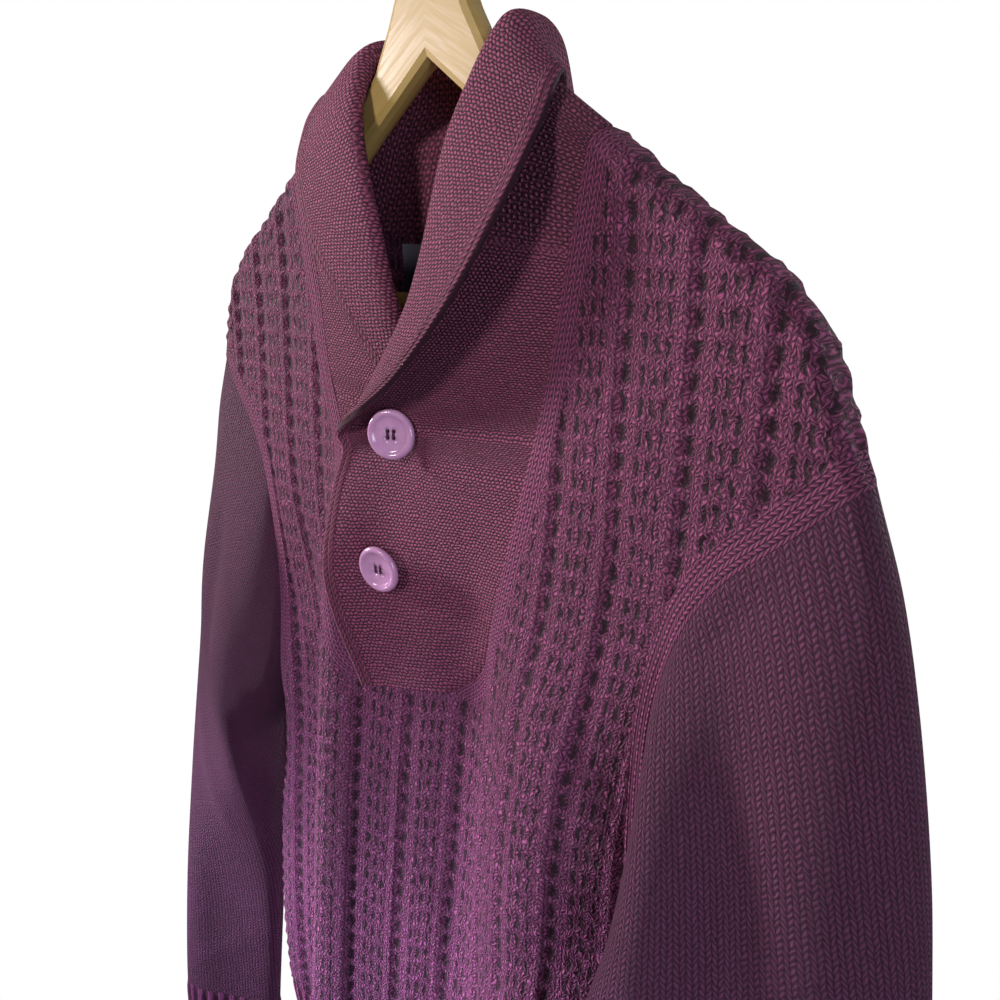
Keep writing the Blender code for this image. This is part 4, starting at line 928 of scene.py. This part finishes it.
def fold_row(side, place):
    """Middle of the wall from the seam up to the roll line and over it to the free edge."""
    seam, normal = seam_point(side, place)
    start = seam - normal * BAND / 2
    table = np.array(COLLAR_LEFT if side > 0 else COLLAR_RIGHT)

    def lines(at):
        values = through(-table[:, 0], table[:, 1:], -at)
        return (np.array([values[0], values[1], NOTCH_Z - values[2]]),
                np.array([values[3], values[4], NOTCH_Z - values[5]]))

    roll, edge = lines(place)
    along = (roll - start) / np.linalg.norm(roll - start)
    turned = np.cross(along, lines(place - 0.25)[0] - lines(place + 0.25)[0])
    turned *= np.sign(np.dot(turned, edge - roll)) / np.linalg.norm(turned)
    turn = turned * min(ROLL_SIZE, FALL_PULL * np.linalg.norm(edge - roll))
    sag = turned * STAND_SAG
    stand = bezier(start, mix(start, roll, STAND_PULL) - sag, roll - turn - sag / 2, roll,
                   STAND_PARTS)
    fall = bezier(roll, roll + turn, mix(edge, roll, FALL_PULL) + turn * STAND_PULL, edge,
                  FALL_PARTS)
    return np.concatenate([stand, fall])


def refine(grid, count):
    """A finer grid of points on the smooth surface through a coarse one."""
    for axis in (0, 1):
        grid = np.moveaxis(grid, axis, 0)
        shape = grid.shape
        at = np.linspace(0.0, shape[0] - 1.0, (shape[0] - 1) * count + 1)
        flat = through(np.arange(shape[0], dtype=float), grid.reshape(shape[0], -1), at)
        grid = np.moveaxis(flat.reshape(len(at), *shape[1:]), 0, axis)
    return grid


def collar_normals(grid):
    """Normals of the side that shows on the collar's fall and on the placket."""
    normals = sheet_normals(grid, False, (0.0, 0.0, 1.0))
    return normals if normals[0, normals.shape[1] // 2, 1] <= 0.0 else -normals


# Beside the neck point the fall swells into a lobe, its edge tucks in and the stand puffs.
LOBE_PLACE = -0.8
LOBE_SPREAD = 0.7
LOBE_SIZE = 0.007
TUCK_PLACE = -0.6
TUCK_SPREAD = 0.6
TUCK_SIZE = 0.007
PUFF_PART = 0.28            # part of the stand, down from the roll, where it puffs and then draws in
PUFF_SPREAD = 0.14
PUFF_SIZE = 0.004
DRAWN_PART = 0.25
DRAWN_SPREAD = 0.10
DRAWN_SHARE = 0.8
EDGE_WALE = 0.0038          # the two bold wales along the free edge
EDGE_COURSE = 0.0034
EDGE_HEIGHT = 0.0009


def collar_pattern(u, v, near, along):
    """Fine plain knitting, with ribs inside the neck and two bold chain wales at the free edge."""
    fine = bricks(u, v, 0.0026, 0.0019)
    ribs = bricks(u, v, 0.0040, 0.0024) * ((u / 0.0030).wave() * 0.7 + 0.3)
    inside = u.smooth(0.054, 0.060) * v.smooth(0.28, 0.31)
    fine = fine * (1.0 - inside) + ribs * inside
    chain = stitches(near, along, EDGE_WALE, EDGE_COURSE) ** 1.5
    edge = near.smooth(0.0072, 0.0082, 1.0, 0.0)
    return fine * (1.0 - edge) + chain * edge


collar_knit = knit_material("collar_knit", collar_pattern, bump=0.0015, shadow=0.14, wander=0.0022,
                            high=colour(160, 78, 112), low=colour(156, 78, 118))

for word, side in (("left", 1), ("right", -1)):
    name = f"collar_{word}"
    rows = [placket_row(side, p) if p > FOLD_PLACE else fold_row(side, p) for p in COLLAR_PLACES]
    middle = refine(np.array(rows), COLLAR_CELLS)
    normals = collar_normals(middle)
    # Place down the seam, part of the fall out from the roll and part of the stand down from it.
    place = np.interp(np.linspace(0.0, len(rows) - 1.0, len(middle)), np.arange(len(rows)),
                      COLLAR_PLACES)[:, None]
    parts = np.linspace(0.0, len(STAND_PARTS) + len(FALL_PARTS) - 1.0, middle.shape[1])
    fall = np.clip((parts - len(STAND_PARTS) + 1.0) / len(FALL_PARTS), 0.0, 1.0)
    stand = np.clip(1.0 - parts / (len(STAND_PARTS) - 1.0), 0.0, 1.0)
    lobe = np.exp(-((place - LOBE_PLACE) / LOBE_SPREAD) ** 2) * np.sin(math.pi * fall ** 0.8)
    tuck = np.exp(-((place - TUCK_PLACE) / TUCK_SPREAD) ** 2) * smooth_step(0.5, 1.0, fall)
    drawn = np.exp(-((stand - PUFF_PART - DRAWN_PART) / DRAWN_SPREAD) ** 2)
    puff = np.exp(-((stand - PUFF_PART) / PUFF_SPREAD) ** 2) - DRAWN_SHARE * drawn
    puff = (1.0 - smooth_step(-1.0, 1.5, place)) * puff
    raised = TUCK_SIZE * tuck - LOBE_SIZE * lobe - PUFF_SIZE * puff
    middle = middle + normals * raised[..., None]
    normals = collar_normals(middle)
    width = run_length(middle, 1)
    free = width[:, -1:] - width
    along = run_length(middle, 0)
    courses = np.broadcast_to(along[:, COUNT_COLUMN:COUNT_COLUMN + 1], free.shape)
    knit = np.stack([free, courses], -1)
    bead = 0.5 - 0.5 * np.cos(math.tau * np.clip(free / EDGE_WALE, 0.0, 2.0))
    bulge = EDGE_HEIGHT * bead * (1.0 - smooth_step(0.007, 0.008, free))
    layers = {"Knit": knit, "Seam": np.stack([free, along], -1)}
    band = shell(name, middle + normals * BAND / 2, normals, bulge, BAND + bulge, layers, stride=1)
    band.data.materials.append(collar_knit)
    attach(band, "root")
    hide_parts(name)

# ==== The buttons
# Two glossy buttons with a raised rim and four holes, sewn to the left band with two upright
# stitches of doubled thread each.
BUTTON_RADIUS = 0.0135
BUTTON_THICK = 0.0038
HOLE_PLACE = 0.0024         # from the button's middle to the middle of a hole
HOLE_RADIUS = 0.0012
STRAND_PLACES = (-0.00198, -0.00142, 0.00142, 0.00198)
STRAND_RADIUS = 0.0004
STRAND_STRETCH = 6.2
STRAND_HEIGHT = 0.70        # part of the button's thickness at which the thread lies
#           name        turn  tilt, degrees
BUTTONS = (("button_1", 28.0, 2.0),
           ("button_2", 14.0, -6.0))
BUTTON_PROFILE = ((0.0, 0.0), (0.60, 0.0), (0.90, 0.10), (0.98, 0.28), (1.0, 0.45), (0.985, 0.70),
                  (0.94, 0.92), (0.88, 1.0), (0.82, 1.0), (0.76, 0.93), (0.71, 0.78), (0.66, 0.70),
                  (0.60, 0.66), (0.40, 0.62), (0.0, 0.60))

gloss, shader, start = new_material("button_gloss")
pearl = start.place().noise(180.0, 3.0)
base = pearl.smooth(0.3, 0.7).mixed(colour(216, 158, 206), colour(226, 170, 216))
start.feed(shader, {"Base Color": base, "Roughness": pearl.smooth(0.2, 0.8, 0.16, 0.24),
                    "Coat Weight": 0.6, "Coat Roughness": 0.08})

thread, shader, start = new_material("thread")
twist = start.place().noise(1500.0, 1.0)
base = twist.smooth(0.3, 0.7).mixed(colour(50, 22, 40), colour(88, 44, 72))
start.feed(shader, {"Base Color": base, "Roughness": 0.7})

for name, turn, tilt in BUTTONS:
    low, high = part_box(name)
    turned = (Matrix.Rotation(math.radians(turn), 3, "Z")
              @ Matrix.Rotation(-math.radians(tilt), 3, "X"))
    centre = (Vector(low) + Vector(high)) / 2 - turned @ Vector((0.0, -BUTTON_THICK / 2, 0.0))
    placed = Matrix.Translation(centre) @ turned.to_4x4()
    bm = bmesh.new()
    spun = [bm.verts.new((r * BUTTON_RADIUS, -h * BUTTON_THICK, 0.0)) for r, h in BUTTON_PROFILE]
    edges = [bm.edges.new(pair) for pair in zip(spun, spun[1:])]
    bmesh.ops.spin(bm, geom=spun + edges, cent=(0, 0, 0), axis=(0, 1, 0), angle=2 * math.pi,
                   steps=72, use_merge=True)
    bmesh.ops.remove_doubles(bm, verts=bm.verts, dist=1e-6)
    bmesh.ops.recalc_face_normals(bm, faces=bm.faces)
    bm.transform(placed)
    button = new_piece(name + "_disc", bm)
    button.data.materials.append(gloss)
    bm = bmesh.new()
    for k in range(4):
        angle = math.radians(45 + 90 * k)
        spot = Matrix.Translation((HOLE_PLACE * math.cos(angle), -BUTTON_THICK / 2,
                                   HOLE_PLACE * math.sin(angle)))
        bmesh.ops.create_cone(bm, cap_ends=True, segments=20, radius1=HOLE_RADIUS,
                              radius2=HOLE_RADIUS, depth=BUTTON_THICK * 2,
                              matrix=spot @ Matrix.Rotation(math.pi / 2, 4, "X"))
    bm.transform(placed)
    cutter = new_piece(name + "_holes", bm, smooth=False)
    cut = button.modifiers.new("holes", "BOOLEAN")
    cut.operation = "DIFFERENCE"
    cut.solver = "EXACT"
    cut.object = cutter
    with bpy.context.temp_override(object=button, active_object=button, selected_objects=[button]):
        bpy.ops.object.modifier_apply(modifier=cut.name)
    bpy.data.objects.remove(cutter, do_unlink=True)
    bm = bmesh.new()
    for strand in STRAND_PLACES:
        spot = Matrix.Translation((strand, -BUTTON_THICK * STRAND_HEIGHT, 0.0))
        bmesh.ops.create_uvsphere(bm, u_segments=12, v_segments=8, radius=STRAND_RADIUS,
                                  matrix=spot @ Matrix.Diagonal((1.0, 1.0, STRAND_STRETCH, 1.0)))
    bm.transform(placed)
    sewing = new_piece(name + "_thread", bm)
    sewing.data.materials.append(thread)
    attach(button, "root")
    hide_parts(name)
    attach(sewing, "root")

# ==== The neck label
# A blank woven label, tacked at its top inside the back of the neck, lighter along its upper edge.
LABEL_WIDTH = 0.062
LABEL_HEIGHT = 0.038
LABEL_SHIFT = 0.014
LABEL_THICK = 0.0005
LABEL_DEPTH = 0.003         # of its tacked edge inside the back's outer surface
LABEL_LIFT = 0.0006         # how far it stands off there, and how much more at its wavy foot
LABEL_WAVES = 0.0008
THREADS = (0.0006, 0.0004)  # from one thread of the weave to the next, across and up

woven, shader, start = new_material("label_cloth")
place = start.place()
weave = (place.axis(0) / THREADS[0]).wave() * (place.axis(2) / THREADS[1]).wave()
light = place.axis(2).smooth(-0.226, -0.212).mixed(colour(70, 74, 92), colour(196, 204, 220))
base = (weave * 0.3).mixed(light, colour(20, 22, 30))
start.feed(shader, {"Base Color": base, "Normal": weave.bump(0.0002, 0.6), "Roughness": 0.55})

top = NECK_DROP + BACK_NECK_DEPTH + 0.0012
x, drop = np.meshgrid(np.linspace(-LABEL_WIDTH / 2, LABEL_WIDTH / 2, 61) - LABEL_SHIFT,
                      np.linspace(top, top + LABEL_HEIGHT, 43))
waves = LABEL_WAVES * ((drop - top) / LABEL_HEIGHT) * (0.6 + 0.4 * np.cos(x / 0.009))
base = np.stack([x, body_y(1, x, drop) - LABEL_DEPTH - (LABEL_LIFT + waves), NOTCH_Z - drop], -1)
label = shell("neck_label", base, sheet_normals(base, False, (0.0, -1.0, 0.0)), np.zeros(x.shape),
              np.full(x.shape, -LABEL_THICK), {"Knit": np.stack([x, drop], -1)})
label.data.materials.append(woven)
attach(label, "root")
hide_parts("neck_label")

# ==== The hanger
# A flat board of pale wood with a notched neck, a round bar let into its arms and a wire hook. Its
# solids have the right shape, so they keep it and get grain, a lacquered sheen and bright steel.
ARM_SLOPE = 0.55            # the grain runs down along the arms
GRAIN_STRETCH = 0.08        # how much finer it is across them
GRAIN_BEND = 0.01

wood, shader, start = new_material("pale_wood")
place = start.place()
x = place.axis(0)
slope = x.math("ABSOLUTE") * ARM_SLOPE + place.axis(2)
bent = place.noise(14.0, 2.0) * GRAIN_BEND
grain = start.node("ShaderNodeCombineXYZ", {0: x * GRAIN_STRETCH, 1: slope, 2: bent})
grain = grain.noise(420.0, 5.0)
base = grain.smooth(0.3, 0.7).mixed(colour(192, 160, 92), colour(200, 170, 102))
start.feed(shader, {"Base Color": base, "Roughness": grain.smooth(0.3, 0.7, 0.42, 0.55),
                    "Normal": grain.bump(0.0001, 0.5)})

steel, shader, start = new_material("bright_steel")
drawn = start.place().noise(300.0, 2.0)
base = drawn.smooth(0.3, 0.7).mixed(colour(196, 198, 202), colour(214, 215, 218))
start.feed(shader, {"Base Color": base, "Roughness": drawn.smooth(0.2, 0.8, 0.14, 0.26),
                    "Metallic": 1.0})

for name, finish in (("hanger_board", wood), ("hanger_bar", wood), ("hanger_hook", steel)):
    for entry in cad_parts[name].material_slots:
        entry.material = finish

# ==== Floor, light and camera
# A pale floor far below and soft round lamps: the key and a low one on the wearer's right, one in
# front for the inside of the neck, a cooler fill on the left, one behind and a dim one above.
FLOOR_HEIGHT = -1.35
FLOOR_HALF = 6.0
WHITE = (1.0, 1.0, 1.0, 1.0)

bm = bmesh.new()
bmesh.ops.create_grid(bm, x_segments=1, y_segments=1, size=FLOOR_HALF,
                      matrix=Matrix.Translation((0.0, 0.0, FLOOR_HEIGHT)))
floor = new_piece("floor", bm, smooth=False)
paper, shader, start = new_material("floor_paper")
start.feed(shader, {"Base Color": (0.55, 0.55, 0.57, 1.0), "Roughness": 0.9})
seen = start.node("ShaderNodeLightPath", {}, 0)
white = start.node("ShaderNodeEmission", {"Color": WHITE, "Strength": 1.0})
lit = Wire(start.tree, shader.outputs[0])
shown = start.node("ShaderNodeMixShader", {0: seen, 1: lit, 2: white})
start.feed(start.tree.nodes["Material Output"], {"Surface": shown})
floor.data.materials.append(paper)

world = bpy.data.worlds.new("studio")
bpy.context.scene.world = world
world.use_nodes = True
start = Wire(world.node_tree, None)
seen = start.node("ShaderNodeLightPath", {}, 0)
start.feed(start.tree.nodes["Background"], {"Color": seen.mixed((0.045, 0.040, 0.045, 1.0), WHITE)})

#          name     place                 aim                    size  watts  cone  colour
LIGHTS = (("key", (-1.70, -0.85, 0.12), (-0.05, -0.05, -0.26), 0.20, 145.0, 38.0, (1.0, 0.93, 0.95)),
          ("low", (-1.15, -1.30, -0.80), (-0.08, -0.06, -0.70), 0.15, 190.0, 18.0, (0.95, 0.82, 1.0)),
          ("front", (-0.20, -1.60, 0.35), (-0.02, 0.03, -0.22), 0.20, 52.0, 26.0, (1.0, 0.93, 0.90)),
          ("fill", (1.50, -0.75, -0.20), (0.1, 0.0, -0.50), 0.40, 44.0, 60.0, (0.80, 0.88, 1.0)),
          ("back", (0.30, 1.90, 0.00), (0.0, 0.0, -0.45), 0.40, 60.0, 48.0, (1.0, 0.96, 0.97)),
          ("top", (0.10, 0.60, 0.90), (0.0, 0.0, -0.20), 0.40, 8.0, 70.0, (1.0, 0.95, 0.90)))
for name, spot, aim, size, watts, cone, tint in LIGHTS:
    lamp = bpy.data.lights.new(name, "SPOT")
    lamp.shadow_soft_size = size
    lamp.spot_size = math.radians(cone)
    lamp.spot_blend = 1.0
    lamp.energy = watts
    lamp.color = tint
    stand = bpy.data.objects.new(name, lamp)
    stand.location = spot
    stand.rotation_euler = (Vector(aim) - Vector(spot)).to_track_quat("-Z", "Y").to_euler()
    bpy.context.collection.objects.link(stand)

optics = bpy.data.cameras.new("camera")
optics.sensor_width = 36.0
optics.lens = 31.7
optics.clip_start = 0.01
camera = bpy.data.objects.new("camera", optics)
camera.location = (0.3625, -0.2898, -0.2018)
camera.rotation_euler = (math.radians(72.93), 0.0, math.radians(47.53))
bpy.context.collection.objects.link(camera)
bpy.context.scene.camera = camera
bpy.context.scene.view_settings.view_transform = "Standard"
